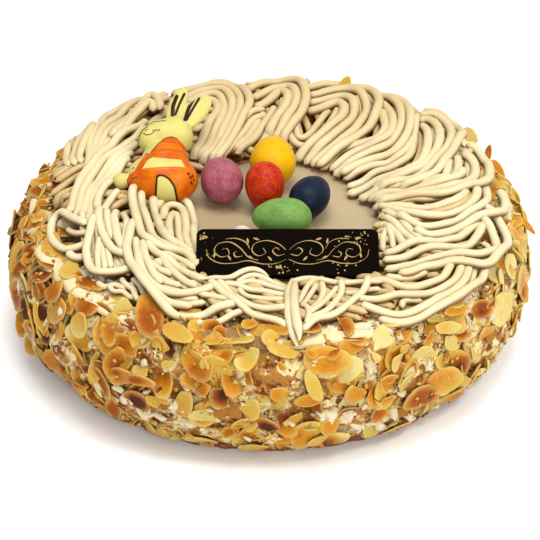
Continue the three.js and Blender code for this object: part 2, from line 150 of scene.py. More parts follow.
# Bundles of the nozzle in the order they were piped: strands side by side, strand radius, where the first
# and the last strand run, in pixels of the photograph, and how much higher their start is heaped
BUNDLES = [
    # Right side, from the front to the back
    (1, 1.5, [(475, 252), (473, 268), (469, 279), (463, 288), (452, 295), (440, 300), (430, 304)], None),
    (1, 1.7, [(487, 247), (485, 264), (483, 274), (479, 283), (472, 291), (462, 298), (450, 303),
              (438, 308), (425, 313), (412, 316.5), (400, 317), (388, 314), (378, 310)], None),
    (1, 1.3, [(403, 303), (402, 298), (410, 294), (424, 294)], None),
    (1, 1.7, [(469, 251), (467, 267), (464, 276), (458, 284), (448, 290), (438, 296), (430, 301),
              (418, 306), (405, 309), (392, 309), (378, 307), (360, 304)], None),
    (2, 1.65, [(463, 250), (457, 273), (447, 282), (434, 287), (418, 290), (400, 293), (385, 296),
               (370, 297), (352, 296)],
     [(457, 250), (447, 271), (434, 278), (422, 282), (408, 285), (396, 284), (386, 281), (374, 280),
      (362, 281)]),
    (1, 1.6, [(428, 268), (418, 271), (408, 274), (396, 276), (384, 276)], None),
    (1, 1.3, [(480, 238), (487, 241), (489, 247), (484, 251)], None),
    (3, 1.6, [(388, 213), (399, 217), (407, 225), (415, 233), (426, 243)],
     [(388, 226), (393, 231), (398, 237), (403, 243), (410, 250)]),
    (2, 1.75, [(480, 217), (462, 232), (450, 235), (438, 238), (424, 241), (410, 245), (396, 249),
               (382, 251)],
     [(486, 214), (477, 234), (464, 243), (447, 245), (432, 247), (416, 251), (400, 256), (382, 258)]),
    (1, 1.75, [(473, 213), (484, 219), (491, 227), (496, 237), (496, 246), (487, 252), (472, 254),
               (456, 254), (440, 255), (425, 258), (410, 262), (396, 266), (384, 267)], None),
    (1, 1.8, [(480, 203), (492, 209), (501, 218), (507, 230), (508, 241), (505, 251), (497, 258),
              (485, 262), (468, 262), (452, 262), (438, 263.5), (424, 267), (410, 272), (398, 274)], None),
    (1, 1.2, [(384, 248), (383, 239), (386, 231)], None),
    (1, 1.2, [(393, 248), (391, 239), (388, 232)], None),
    (1, 1.85, [(498, 183), (504, 191), (505, 201), (500, 210), (489, 214), (476, 219), (464, 225),
               (452, 229), (438, 232), (426, 233), (414, 229)], None),
    (1, 1.8, [(486, 186), (487, 196), (482, 205), (471, 212), (458, 218), (440, 222.5), (424, 224.5),
              (410, 222), (402, 219)], None),
    (3, 1.8, [(478, 187), (476, 197), (467, 205), (455, 210), (440, 213.5), (424, 215.5), (408, 213),
              (384, 209)],
     [(455, 187), (452, 191), (446, 194), (440, 195), (428, 198), (414, 199), (400, 201), (378, 206)]),
    (3, 1.7, [(463, 151), (468, 159), (467, 170), (462, 180)],
     [(448, 156), (449, 164), (447, 173), (442, 182)]),
    (4, 1.95, [(462, 142), (478, 149), (489, 161), (487, 175), (469, 185), (440, 195), (412, 198),
               (378, 205)],
     [(455, 181), (452, 181), (448, 181), (440, 181), (428, 182), (407, 185), (384, 189), (350, 199)]),
    (1, 1.2, [(446, 122), (454, 129), (461, 138), (464, 148)], None),
    (4, 1.9, [(418, 108), (438, 110), (456, 117), (463, 129), (457, 143), (448, 158), (432, 176),
              (406, 187)],
     [(416, 124), (423, 124), (428, 133), (427, 148), (419, 164), (402, 173), (376, 180), (347, 193)]),
    (2, 1.75, [(417, 116), (414, 128), (413, 142), (408, 155), (393, 165), (375, 171), (347, 186)],
     [(412, 108), (409, 122), (410, 138), (404, 150), (389, 160), (370, 166), (343, 178)]),
    (1, 1.2, [(362, 93), (371, 98), (378, 106), (381, 117)], None),
    (4, 1.9, [(376, 89), (391, 89), (404, 98), (410, 114), (408, 133), (395, 150), (368, 162), (336, 178)],
     [(380, 104), (383, 112), (385, 120), (384, 130), (376, 138), (360, 141), (340, 149), (318, 169)]),
    # Back, from the right to the left
    (2, 1.6, [(291, 118), (289, 135), (296, 146), (308, 145), (322, 132), (334, 116), (338, 106)],
     [(299, 116), (296, 128), (299, 138), (306, 136), (316, 124), (324, 112), (330, 106)]),
    (4, 2.0, [(304, 87), (325, 81), (352, 79), (371, 87), (379, 103), (371, 121), (352, 139), (333, 155),
              (316, 170)],
     [(306, 109), (322, 106), (336, 102), (343, 107), (341, 117), (330, 128), (318, 139), (306, 150),
      (294, 161)]),
    (3, 1.75, [(284, 96), (281, 107), (276, 118), (270, 131), (262, 146)],
     [(266, 110), (258, 122), (250, 134), (240, 145), (222, 152)]),
    (3, 2.0, [(244, 88), (260, 81), (281, 77), (298, 81), (306, 95), (302, 112), (293, 127), (284, 141)],
     [(249, 109), (262, 102), (271, 95), (280, 89), (287, 95), (285, 106), (277, 120), (268, 138)]),
    (2, 1.6, [(265, 110), (251, 114), (242, 123), (235, 135), (224, 149)],
     [(263, 119), (253, 123), (246, 132), (238, 142), (224, 156)]),
    (2, 1.6, [(190, 120), (200, 121), (209, 119)], [(189, 127), (199, 128), (207, 126)]),
    (5, 1.85, [(164, 93), (196, 81), (229, 79), (244, 88), (249, 102), (243, 119), (236, 135), (227, 150),
               (216, 162)],
     [(192, 107), (203, 99), (213, 99), (217, 107), (214, 118), (208, 129), (203, 139), (199, 147),
      (192, 154)]),
    # Left side, from the back to the front
    (4, 1.8, [(172, 92), (150, 96), (132, 98), (117, 106), (104, 117), (96, 129), (90, 145), (89, 160),
              (82, 176)],
     [(164, 104), (150, 105), (140, 114), (131, 124), (118, 132), (108, 140), (101, 150), (94, 163),
      (84, 180)]),
    (3, 1.6, [(96, 120), (86, 128), (75, 139), (68, 149), (67, 159), (71, 170)],
     [(97, 126), (91, 134), (84, 144), (80, 153), (80, 160), (84, 167)]),
    (2, 1.6, [(170, 101), (156, 106), (143, 114), (133, 124)],
     [(172, 110), (162, 114), (152, 121), (141, 131)]),
    (2, 1.8, [(160, 117), (159, 109), (152, 103), (144, 107), (136, 116), (123, 128), (110, 139)],
     [(154, 118), (153, 112), (149, 110), (144, 114), (139, 119), (131, 126), (118, 138)], 2.4),
    (5, 1.8, [(148, 119), (139, 130), (124, 137), (110, 147), (98, 159), (87, 173), (77, 188), (68, 212)],
     [(134, 157), (126, 160), (119, 167), (112, 176), (104, 186), (99, 196), (96, 208), (96, 230)]),
    (2, 1.6, [(112, 181), (104, 190), (99, 200), (97, 211)],
     [(119, 190), (112, 197), (106, 205), (103, 213)]),
    (1, 1.3, [(96, 274), (104, 280), (114, 277), (124, 281), (136, 275)], None),
    (1, 1.1, [(107, 279), (113, 286), (122, 286), (130, 291), (141, 289)], None),
    (1, 1.2, [(121, 271), (125, 279), (133, 284), (136, 292), (148, 299)], None),
    (1, 1.3, [(131, 273), (140, 280), (145, 289), (154, 294), (163, 302)], None),
    (9, 1.4, [(82, 212), (83, 226), (86, 240), (90, 252), (96, 263)],
     [(136, 222), (138, 234), (140, 246), (143, 259), (149, 271)]),
    (5, 1.4, [(146, 260), (156, 268), (168, 274), (182, 280), (200, 284)],
     [(150, 284), (160, 292), (172, 297), (186, 300), (206, 300)]),
    (1, 1.4, [(66, 221), (73, 226), (80, 231), (92, 234)], None),
    (1, 1.7, [(88, 227), (77, 221), (67, 215), (60, 211), (53.5, 214), (50.5, 222), (51.5, 231), (56, 238),
              (64, 242), (74, 242), (92, 241)], None),
    (1, 1.6, [(66, 248), (72, 251), (80, 252), (92, 251)], None),
    # Front left
    (2, 1.3, [(99, 236), (98, 246), (98, 256), (99, 267)],
     [(104, 238), (103, 248), (103.5, 258), (104, 267)]),
    (1, 1.2, [(107, 246), (109, 256), (111, 266)], None),
    (1, 1.5, [(107, 211), (107, 221), (109, 231), (113, 239)], None),
    (1, 1.4, [(124, 210), (126, 221), (125, 232), (123, 243)], None),
    (1, 1.7, [(116, 208), (114.5, 218), (115, 228), (117, 238), (122, 247), (128, 253)], None),
    (1, 1.6, [(94, 219), (91, 231), (87.5, 242), (86.5, 253), (89, 263), (96, 269), (108, 269.5),
              (120, 268), (132, 266)], None),
    (1, 1.65, [(100, 210), (99, 221), (101, 231), (106, 241), (113, 249), (122, 254), (132, 258)], None),
    (3, 1.5, [(153, 261), (160, 264), (168, 268)], [(160, 280), (170, 283), (182, 286)]),
    (1, 1.5, [(160, 259), (167, 268), (175, 276), (186, 283), (198, 288)], None),
    (1, 1.7, [(135, 238), (136, 249), (138.5, 261), (143.5, 272), (151, 281), (160, 287.5), (173, 291.5),
              (188, 292.5), (204, 291), (216, 286)], None),
    (1, 1.6, [(142, 242), (146, 259), (150, 269), (155, 278), (162, 285)], None),
    (1, 1.7, [(140, 274), (148, 284), (158, 293), (168, 299), (180, 302), (192, 304)], None),
    (1, 1.8, [(138, 216), (131.5, 229), (128.5, 240), (127, 251), (129, 261), (134, 271), (141, 281),
              (149.5, 290), (160, 300), (171, 307.5), (186, 310), (204, 308.5), (220, 306), (238, 303)],
     None),
    (1, 1.5, [(152, 246), (172, 256), (184, 261), (195, 267)], None),
    (1, 1.7, [(146, 244), (158, 256), (170, 263), (181, 270), (192, 276), (206, 282)], None),
    (1, 1.5, [(170, 238), (169, 227), (172, 218), (176.5, 219), (178, 228), (179, 238), (184, 247)],
     None, 2.4),
    (2, 1.65, [(165, 216), (167, 211), (173, 209.5), (180, 212.5), (184.5, 219), (186.5, 228), (186, 239),
               (190, 249)],
     [(160, 207), (169, 202), (180, 203), (188, 209), (193, 218), (194.5, 228), (194, 240),
      (196, 250)], 2.4),
    (1, 1.7, [(142, 194), (142, 208), (146, 220), (152, 232), (159, 240), (168, 247), (180, 251),
              (192, 256)], None, 3.2),
    (1, 1.8, [(184, 196), (174, 194.5), (163, 194), (156, 198), (154, 207), (156.5, 218), (160, 228),
              (165.5, 237), (173, 244), (183, 250), (193, 256)], None, 3.2),
    (1, 1.75, [(135, 192), (133, 203), (134.5, 214), (137.5, 226), (142, 236), (150, 244), (160, 249),
               (174, 252.5), (186, 256), (196, 262)], None, 3.2),
    # Strands in front of the plaque, seen one by one
    (1, 1.3, [(288, 281), (304, 279.5), (322, 280), (342, 281.5)], None),
    (1, 1.3, [(198, 296), (212, 297), (226, 301), (236, 305)], None),
    (1, 1.4, [(194, 316), (208, 317), (224, 315), (238, 311), (250, 308)], None),
    (1, 1.15, [(266, 318), (278, 323), (292, 330)], None),
    (1, 1.2, [(238, 288), (246, 296), (262, 299), (286, 300)], None),
    (2, 1.2, [(236, 281), (249, 276), (262, 277), (278, 282), (292, 287)],
     [(232, 284), (247, 281), (260, 283), (275, 287), (290, 290)]),
    (1, 1.35, [(222, 284), (236, 285), (250, 289), (266, 292), (288, 294)], None),
    (1, 1.45, [(216, 282), (226, 288), (235, 298), (246, 305), (260, 307), (274, 308), (288, 308)], None),
    (1, 1.5, [(208, 284), (219, 291), (229, 300), (240, 307), (252, 313), (266, 315), (280, 318),
              (292, 323)], None),
    (2, 1.2, [(341, 283), (354, 282), (366, 283), (382, 284)],
     [(342, 289), (356, 289), (368, 288), (382, 289)]),
    (1, 1.15, [(315, 280), (307, 286), (302, 293), (298, 302)], None),
    (1, 1.1, [(318, 284), (312, 291), (306, 299), (301, 306)], None),
    (1, 1.3, [(321, 283), (324, 291), (321, 299), (314, 306), (308, 311)], None),
    (1, 1.2, [(338, 285), (333, 292), (327, 299), (318, 307), (309, 315)], None),
    (1, 1.35, [(341, 281), (342, 289), (339, 297), (333, 304), (325, 310), (316, 315), (308, 321),
               (303, 328)], None),
    (1, 1.45, [(368, 278), (366, 286), (361, 294), (353, 301), (343, 308), (331, 314), (318, 318),
               (309, 324), (303, 330)], None),
    (1, 1.15, [(299, 306), (305, 306), (308.5, 311), (308.5, 319), (306, 327)], None),
    (1, 1.5, [(291, 280), (289, 292), (288, 304), (288, 316), (291, 328), (295, 338), (298, 346)], None),
    (1, 1.8, [(296, 282), (294, 295), (294.5, 308), (297, 321), (298.5, 334), (298.5, 346)], None),
]
# How many of the last bundles, with the strand over the plaque, are drawn out to a point
POINTED = 3
# The last strand lies over the lower edge of the plaque
LAST_STRAND = (1, 1.25, [(200, 283), (214, 280.5), (228, 276), (240, 272), (251, 270.5), (261, 272),
                         (269, 276)], None)
# Large flakes as the photograph shows them: pixel, length and width in pixels, angle of the length in
# degrees, toast from 0 (pale) to 1.2 (burnt)
FLAKES_SEEN = [
    (149, 318, 56, 27, 101, 0.6), (109, 323, 50, 15, 100, 0.45), (123, 317, 31, 22, 95, -0.1),
    (90, 305, 27, 23, 60, 0.5), (58, 288, 32, 18, 80, 0.45), (51, 255, 33, 20, 85, 0.05),
    (70, 273, 19, 14, 70, -0.1), (101, 291, 17, 9, 0, 0.3), (81, 263, 15, 9, 80, 0.6),
    (83, 325, 25, 21, 70, 0.0), (176, 350, 29, 22, -30, 1.15), (127, 345, 27, 17, -50, 0.55),
    (138, 342, 22, 12, -70, 0.1), (180, 337, 31, 16, -25, 0.15), (212, 330, 22, 17, 5, 0.65),
    (192, 318, 18, 14, -50, 0.15), (195, 331, 18, 8, -60, 0.5), (238, 338, 31, 23, -30, 0.15),
    (249, 331, 15, 12, 0, 0.4), (245, 363, 20, 18, 30, 0.1), (217, 367, 34, 21, -35, 0.1),
    (225, 357, 19, 14, 15, 0.5), (148, 366, 28, 15, 20, -0.05), (177, 367, 31, 12, -25, -0.15),
    (145, 378, 29, 11, -10, 0.55), (165, 388, 16, 10, 0, 0.95), (204, 383, 21, 16, 70, 0.45),
    (226, 395, 33, 27, -25, 0.85), (247, 400, 38, 22, 110, -0.05), (138, 400, 29, 22, -60, 0.95),
    (117, 403, 20, 15, 75, 0.65), (162, 427, 26, 21, 10, -0.1), (210, 414, 40, 10, -5, -0.2),
    (185, 402, 25, 19, 75, 0.15), (230, 430, 17, 14, 0, 0.6), (267, 423, 25, 22, -40, 1.0),
    (253, 443, 30, 10, -8, 0.15), (272, 343, 21, 15, -20, 0.15), (78, 363, 46, 12, 86, 0.5),
    (58, 362, 22, 20, 0, 0.35), (98, 363, 34, 13, 75, 0.1), (63, 323, 32, 9, 80, 0.1),
    (42, 292, 28, 8, 85, 0.5), (287, 350, 42, 18, -12, 0.1), (345, 368, 36, 25, 30, -0.15),
    (349, 348, 26, 15, 10, 0.45), (332, 350, 22, 14, 70, 0.65), (342, 328, 24, 17, 110, 0.6),
    (382, 337, 24, 20, 50, -0.2), (392, 323, 23, 19, 0, -0.2), (422, 360, 35, 27, 100, -0.1),
    (443, 378, 30, 26, 0, 0.35), (420, 397, 38, 25, -5, 0.75), (356, 388, 29, 24, 60, 0.35),
    (388, 378, 22, 11, 0, 0.5), (380, 410, 25, 19, 20, 0.6), (387, 430, 22, 17, 20, 0.6),
    (329, 422, 20, 18, 80, 0.4), (348, 412, 23, 16, 75, 0.8), (283, 393, 27, 16, -20, 0.3),
    (312, 383, 30, 14, 110, -0.05), (368, 403, 26, 10, -5, -0.2), (485, 328, 37, 18, 75, 0.4),
    (498, 308, 33, 17, 65, -0.05), (475, 347, 28, 15, 80, 0.1), (488, 302, 15, 10, 60, 0.8),
    (452, 312, 25, 10, 10, 0.45), (445, 328, 28, 12, 0, -0.05), (432, 320, 20, 9, -15, -0.2),
    (450, 338, 21, 17, 30, -0.2), (425, 335, 24, 11, 85, 0.55), (443, 352, 17, 10, 70, 0.65),
    (395, 358, 26, 10, 85, 0.0), (402, 347, 30, 7, 95, 0.1), (372, 316, 20, 9, -10, 0.95),
    (313, 331, 26, 11, 20, 0.7), (312, 352, 16, 12, 40, 0.4), (299, 412, 22, 16, 20, 0.2),
    (190, 428, 18, 14, 60, 0.3), (317, 437, 20, 12, 30, 0.1), (460, 378, 24, 14, 70, 0.2),
    (497, 352, 24, 12, 75, 0.1),
]
# Flakes that stand out past the rim, as for the others
FLAKES_RIM = [
    (345, 84, 19, 12, 60, 0.1), (470, 136, 21, 14, -50, -0.15), (488, 153, 18, 8, 80, 0.75),
    (497, 170, 26, 12, -55, 0.6), (506, 187, 27, 13, -60, 0.7), (513, 202, 23, 14, -60, 0.1),
    (520, 215, 25, 12, -55, -0.05), (528, 226, 22, 6, -50, 0.5), (509, 217, 18, 9, 0, 0.75),
    (517, 247, 23, 18, -20, 1.0), (524, 262, 18, 10, 80, 0.1), (512, 232, 16, 8, 0, 0.4),
    (521, 280, 24, 10, 80, 0.3), (516, 300, 20, 12, 70, 0.5), (57, 172, 29, 12, 60, 0.75),
    (49, 190, 27, 12, 62, 0.6), (66, 158, 19, 10, 55, 0.4), (40, 208, 25, 12, 70, 0.5),
    (32, 226, 22, 10, 75, 0.35), (58, 186, 20, 9, 70, 0.85), (27, 246, 24, 10, 80, 0.1),
    (40, 228, 22, 12, 70, 0.05), (22, 270, 26, 10, 85, 0.4), (18, 300, 24, 9, 88, 0.2),
    (20, 325, 26, 10, 95, 0.6), (30, 345, 22, 12, 100, 0.3),
]
# Flakes all over the wall: how many, length, width for the length, tilt, and how far they stand proud
FLAKE_KINDS = {
    "flakes_whole": (480, (11, 17), (0.56, 0.72), (0.05, 0.55), (1.4, 3.4)),
    "flakes_broken": (760, (7, 13), (0.6, 0.9), (0.15, 0.75), (1.0, 2.9)),
    "flakes_standing": (330, (9, 16), (0.45, 0.7), (0.7, 1.3), (2.0, 3.8)),
}
# A flake beneath the traced ones stands no further out than this
COVERED_PROUD = 0.9
CRUMBS = 1500
CREAM_LUMPS = 230
# How much wider than the bare cream the place is that other flakes keep clear, in pixels
CREAM_MARGIN = 13
# Bare white cream on the wall and the rim: pixel, width and height in pixels
CREAM_SEEN = [
    (170, 305, 46, 16), (124, 283, 52, 20), (104, 270, 28, 14), (216, 322, 16, 8), (306, 333, 12, 14),
    (330, 336, 18, 20), (368, 332, 20, 18), (326, 346, 12, 12), (350, 353, 12, 12), (372, 366, 14, 24),
    (312, 362, 10, 8), (400, 392, 16, 9), (175, 405, 14, 10), (147, 414, 12, 8), (186, 424, 22, 8),
    (349, 414, 14, 18), (328, 420, 26, 16), (358, 424, 20, 14), (409, 417, 9, 6), (62, 338, 14, 8),
    (205, 352, 12, 6), (92, 345, 10, 10), (470, 300, 14, 20), (476, 278, 10, 22), (190, 388, 12, 7),
]


def srgb(red, green, blue):
    """Paint with alpha that shows 0 to 255 sRGB values in the bright studio light."""
    def linear(value):
        share = value / 255
        return (share / 12.92 if share <= 0.04045 else ((share + 0.055) / 1.055) ** 2.4) / LIGHT_GAIN
    return linear(red), linear(green), linear(blue), 1.0


def chance(number):
    """Repeatable value from 0 to 1 for a whole number."""
    value = math.sin(number * 12.9898 + 4.1414) * 43758.5453
    return value - math.floor(value)


def between(low, high, share):
    """Value a share of the way from low to high."""
    return low + (high - low) * share


def circle(count):
    """Angles of points evenly spaced round a circle."""
    return np.arange(count) * 2 * math.pi / count


def draws(draw, low, high, count):
    """Several random numbers."""
    return np.array([draw.uniform(low, high) for _ in range(count)])


def units(vectors):
    """Rows of vectors brought to length 1."""
    return vectors / np.maximum(np.linalg.norm(vectors, axis=1), 1e-9)[:, None]


def travelled(path):
    """Distance along a path from its start to each of its points."""
    return np.r_[0, np.cumsum(np.linalg.norm(np.diff(path, axis=0), axis=1))]


def on_axes(points, middle, *axes):
    """Places of flat or solid points in directions that start at a middle."""
    return middle + points @ np.array(axes)


def radius_at(outline, height):
    """Radius at a height of an outline given by height and radius."""
    heights, radii = zip(*outline)
    return np.interp(height, heights, radii)


class Value:
    """A number socket of a material; arithmetic on it adds Math nodes."""

    def __init__(self, paint, socket):
        self.paint = paint
        self.socket = socket

    def math(self, operation, *others, swapped=False):
        operands = [self, *others]
        if swapped:
            operands.reverse()
        node = self.paint.node("ShaderNodeMath", {"operation": operation}, dict(enumerate(operands)))
        return Value(self.paint, node.outputs[0])

    def __add__(self, other):
        return self.math("ADD", other)

    __radd__ = __add__

    def __sub__(self, other):
        return self.math("SUBTRACT", other)

    def __rsub__(self, other):
        return self.math("SUBTRACT", other, swapped=True)

    def __mul__(self, other):
        return self.math("MULTIPLY", other)

    __rmul__ = __mul__

    def __truediv__(self, other):
        return self.math("DIVIDE", other)

    def __rtruediv__(self, other):
        return self.math("DIVIDE", other, swapped=True)

    def __pow__(self, other):
        return self.math("POWER", other)

    def __rpow__(self, other):
        return self.math("POWER", other, swapped=True)

    def smallest(self, other):
        return self.math("MINIMUM", other)

    def largest(self, other):
        return self.math("MAXIMUM", other)

    def root(self):
        return self.math("SQRT")

    def step(self, low, high):
        """0 below low, 1 above high, smooth between; low may be the larger for a falling step."""
        settings = {"interpolation_type": "SMOOTHSTEP", "clamp": True}
        start, end = (0, 1) if low < high else (1, 0)
        values = {0: self, 1: min(low, high), 2: max(low, high), 3: start, 4: end}
        return Value(self.paint, self.paint.node("ShaderNodeMapRange", settings, values).outputs[0])


class Paint:
    """A procedural material."""

    def __init__(self, name):
        self.material = bpy.data.materials.new(name)
        self.material.use_nodes = True
        self.tree = self.material.node_tree
        self.tree.nodes.clear()

    def node(self, kind, settings=None, values=None):
        node = self.tree.nodes.new(kind)
        for key, setting in (settings or {}).items():
            setattr(node, key, setting)
        for key, value in (values or {}).items():
            self.feed(node.inputs[key], value)
        return node

    def feed(self, socket, value):
        if isinstance(value, Value):
            value = value.socket
        if isinstance(value, bpy.types.NodeSocket):
            self.tree.links.new(value, socket)
        else:
            socket.default_value = value

    def place(self):
        """Position on the object in millimetres."""
        where = self.node("ShaderNodeTexCoord").outputs["Object"]
        scaled = self.node("ShaderNodeVectorMath", {"operation": "SCALE"}, {0: where, "Scale": 1 / MM})
        return scaled.outputs[0]

    def along(self, where, direction, start=0.0):
        """Distance of a place along a direction, less a start value."""
        dot = self.node("ShaderNodeVectorMath", {"operation": "DOT_PRODUCT"}, {0: where, 1: direction})
        return Value(self, dot.outputs["Value"]) - start

    def noise(self, where, size, detail=2.0, roughness=0.5, shift=0.0):
        """Noise from 0 to 1 with features of a size in millimetres."""
        shifts = shift, 2 * shift, -shift
        moved = self.node("ShaderNodeVectorMath", {"operation": "ADD"}, {0: where, 1: shifts}).outputs[0]
        values = {"Vector": moved, "Scale": 1 / size, "Detail": detail, "Roughness": roughness}
        return Value(self, self.node("ShaderNodeTexNoise", None, values).outputs[0])

    def cells(self, where, size):
        """Distance to the nearest of scattered points, about a size in millimetres apart."""
        values = {"Vector": where, "Scale": 1 / size}
        return Value(self, self.node("ShaderNodeTexVoronoi", None, values).outputs["Distance"])

    def marks(self, name):
        """The three numbers of a named colour attribute."""
        read = self.node("ShaderNodeAttribute", {"attribute_name": name}).outputs["Color"]
        split = self.node("ShaderNodeSeparateColor", None, {0: read})
        return [Value(self, output) for output in split.outputs[:3]]

    def mix(self, factor, first, second):
        """Colour between two colours."""
        values = {0: factor, 6: first, 7: second}
        return self.node("ShaderNodeMix", {"data_type": "RGBA"}, values).outputs[2]

    def finish(self, colour, roughness, relief=None, strength=1.0, depth=1.0, specular=0.5, metallic=0.0):
        """Principled surface; relief is a height from 0 to 1 that stands for a depth in millimetres."""
        values = {"Base Color": colour, "Roughness": roughness, "Specular IOR Level": specular,
                  "Metallic": metallic}
        if relief is not None:
            bump = {"Height": relief, "Strength": strength, "Distance": depth * MM}
            values["Normal"] = self.node("ShaderNodeBump", None, bump).outputs[0]
        surface = self.node("ShaderNodeBsdfPrincipled", None, values)
        self.node("ShaderNodeOutputMaterial", None, {"Surface": surface.outputs[0]})
        return self.material


def build(name, points, faces, material, replaces=(), slot=None, marks=None, smooth=True):
    """Mesh piece from points in millimetres; marks is a colour for each point."""
    mesh = bpy.data.meshes.new(name)
    mesh.from_pydata((np.asarray(points, float) * MM).tolist(), [], [list(map(int, face)) for face in faces])
    mesh.polygons.foreach_set("use_smooth", [smooth] * len(mesh.polygons))
    if marks is not None:
        layer = mesh.color_attributes.new("marks", "FLOAT_COLOR", "POINT")
        layer.data.foreach_set("color", np.c_[marks, np.ones(len(marks))].astype(np.float32).ravel())
    mesh.materials.append(material)
    mesh.validate()
    piece = bpy.data.objects.new(name, mesh)
    bpy.context.scene.collection.objects.link(piece)
    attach(piece, "root")
    if replaces:
        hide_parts(*replaces)
    return piece


class Batch:
    """Points and faces of many small shapes that become one piece."""

    def __init__(self):
        self.points = []
        self.faces = []
        self.marks = []
        self.count = 0

    def add(self, points, faces, marks=None):
        self.faces.extend([index + self.count for index in face] for face in faces)
        self.points.append(np.asarray(points, float))
        self.marks.append(np.zeros((len(points), 3)) if marks is None else np.asarray(marks, float))
        self.count += len(points)

    def build(self, name, material, **options):
        points = np.concatenate(self.points)
        return build(name, points, self.faces, material, marks=np.concatenate(self.marks), **options)


def ring_faces(rings, around, ends="capped"):
    """Quads between rings of points that follow each other; the end rings are capped, joined or left open."""
    faces = []
    for i in range(rings if ends == "joined" else rings - 1):
        n = (i + 1) % rings
        for j in range(around):
            k = (j + 1) % around
            faces.append([i * around + j, i * around + k, n * around + k, n * around + j])
    if ends == "capped":
        faces.append(list(range(around - 1, -1, -1)))
        faces.append([(rings - 1) * around + j for j in range(around)])
    return faces


def turned(name, profile, around, material, lumps, **options):
    """Turned shape about Z from pairs of radius and height that start and end on the axis; lumps moves its
    points."""
    angles = circle(around)
    rings = [np.c_[r * np.cos(angles), r * np.sin(angles), np.full(around, z)] for r, z in profile[1:-1]]
    points = lumps(np.concatenate(rings))
    low = np.array([[0, 0, profile[0][1]]])
    high = np.array([[0, 0, profile[-1][1]]])
    count = len(points)
    faces = ring_faces(len(rings), around, "open")
    for j in range(around):
        k = (j + 1) % around
        faces.append([count, k, j])
        faces.append([count + 1, count - around + j, count - around + k])
    return build(name, np.concatenate([points, low, high]), faces, material, **options)


def waves(*coordinates, seed=0, terms=9, longest=60.0, shortest=6.0):
    """Smooth repeatable unevenness, about -1 to 1, over places given in millimetres."""
    draw = random.Random(seed)
    usual_peak = 2.2
    total = 0
    for i in range(terms):
        length = between(longest, shortest, i / (terms - 1))
        phase = draw.uniform(0, 2 * math.pi)
        aim = [draw.gauss(0, 1) for _ in coordinates]
        norm = math.hypot(*aim)
        wave = sum(a / norm * c for a, c in zip(aim, coordinates))
        total = total + np.sin(2 * math.pi * wave / length + phase) * (length / longest) ** 0.5
    return total / usual_peak


# Camera, light and floor


def photo_camera():
    """Camera that sees the cake as the photograph does."""
    target = Vector(TARGET) * MM
    eye = target + Vector((0, -RISE_COSINE, RISE_SINE)) * CAMERA_DISTANCE * MM
    # The photograph's middle lies off the target pixel, so the camera turns by that angle
    middle = PHOTO_PIXELS / 2
    right = math.atan((middle - TARGET_PIXEL[0]) / FOCAL_PIXELS)
    down = math.atan((middle - TARGET_PIXEL[1]) / FOCAL_PIXELS)
    data = bpy.data.cameras.new("camera")
    data.sensor_width = SENSOR_WIDTH
    data.lens = SENSOR_WIDTH * FOCAL_PIXELS / PHOTO_PIXELS
    camera = bpy.data.objects.new("camera", data)
    camera.location = eye
    camera.rotation_euler = (math.pi / 2 - CAMERA_RISE - down, 0, -right)
    bpy.context.scene.collection.objects.link(camera)
    bpy.context.scene.camera = camera


def soft_light(name, place, width, power):
    """Round lamp that shines on the cake."""
    data = bpy.data.lights.new(name, "AREA")
    data.shape = "DISK"
    data.size = width
    data.energy = power * LIGHT_GAIN
    lamp = bpy.data.objects.new(name, data)
    lamp.location = place
    lamp.rotation_euler = (LAMPS_AIM - Vector(place)).to_track_quat("-Z", "Y").to_euler()
    bpy.context.scene.collection.objects.link(lamp)


def studio():
    """Pale floor and soft light from above, the right and the front."""
    scene = bpy.context.scene
    scene.view_settings.view_transform = "Standard"
    world = bpy.data.worlds.new("studio")
    world.use_nodes = True
    background = world.node_tree.nodes["Background"]
    background.inputs["Color"].default_value = (1, 1, 1, 1)
    background.inputs["Strength"].default_value = WORLD_STRENGTH * LIGHT_GAIN
    scene.world = world
    for name, lamp in LAMPS.items():
        soft_light(name, *lamp)
    floor = Paint("floor")
    tone = floor.noise(floor.place(), 90)
    white = floor.mix(tone, (0.93, 0.93, 0.93, 1), (0.95, 0.95, 0.95, 1))
    material = floor.finish(white, 0.7)
    mesh = bpy.data.meshes.new("floor")
    corners = [(x * FLOOR_REACH, y * FLOOR_REACH, 0) for x, y in ((-1, -1), (1, -1), (1, 1), (-1, 1))]
    mesh.from_pydata(corners, [], [(0, 1, 2, 3)])
    mesh.materials.append(material)
    ground = bpy.data.objects.new("floor", mesh)
    scene.collection.objects.link(ground)


# Materials


def cream_paint(name, light, deep, roughness=0.42, shade=None, back=None):
    """Piped praline cream: warm beige with faint streaks and a soft sheen. Strands are marked with how far
    each point faces up; where they face down they take a painted shade, and towards the back they are painted
    a darker beige, as painted shade there."""
    paint = Paint(name)
    where = paint.place()
    broad = paint.noise(where, 22, 3)
    fine = paint.noise(where, 1.3, 4, 0.6)
    tone = (broad * 0.75 + fine * 0.35).step(0.3, 0.8)
    colour = paint.mix(tone, light, deep)
    if back:
        # Painted shade: the strands turn a darker beige towards the back
        colour = paint.mix(paint.along(where, (0, 1, 0)).step(0, 70) * 0.8, colour, back)
    if shade:
        # Painted shade on the undersides of the strands and in the gaps between them
        side = paint.marks("marks")[0]
        colour = paint.mix(side.step(0.65, -0.35), colour, shade)
    return paint.finish(colour, fine * 0.15 + roughness, fine, strength=0.25, depth=0.25, specular=0.35)


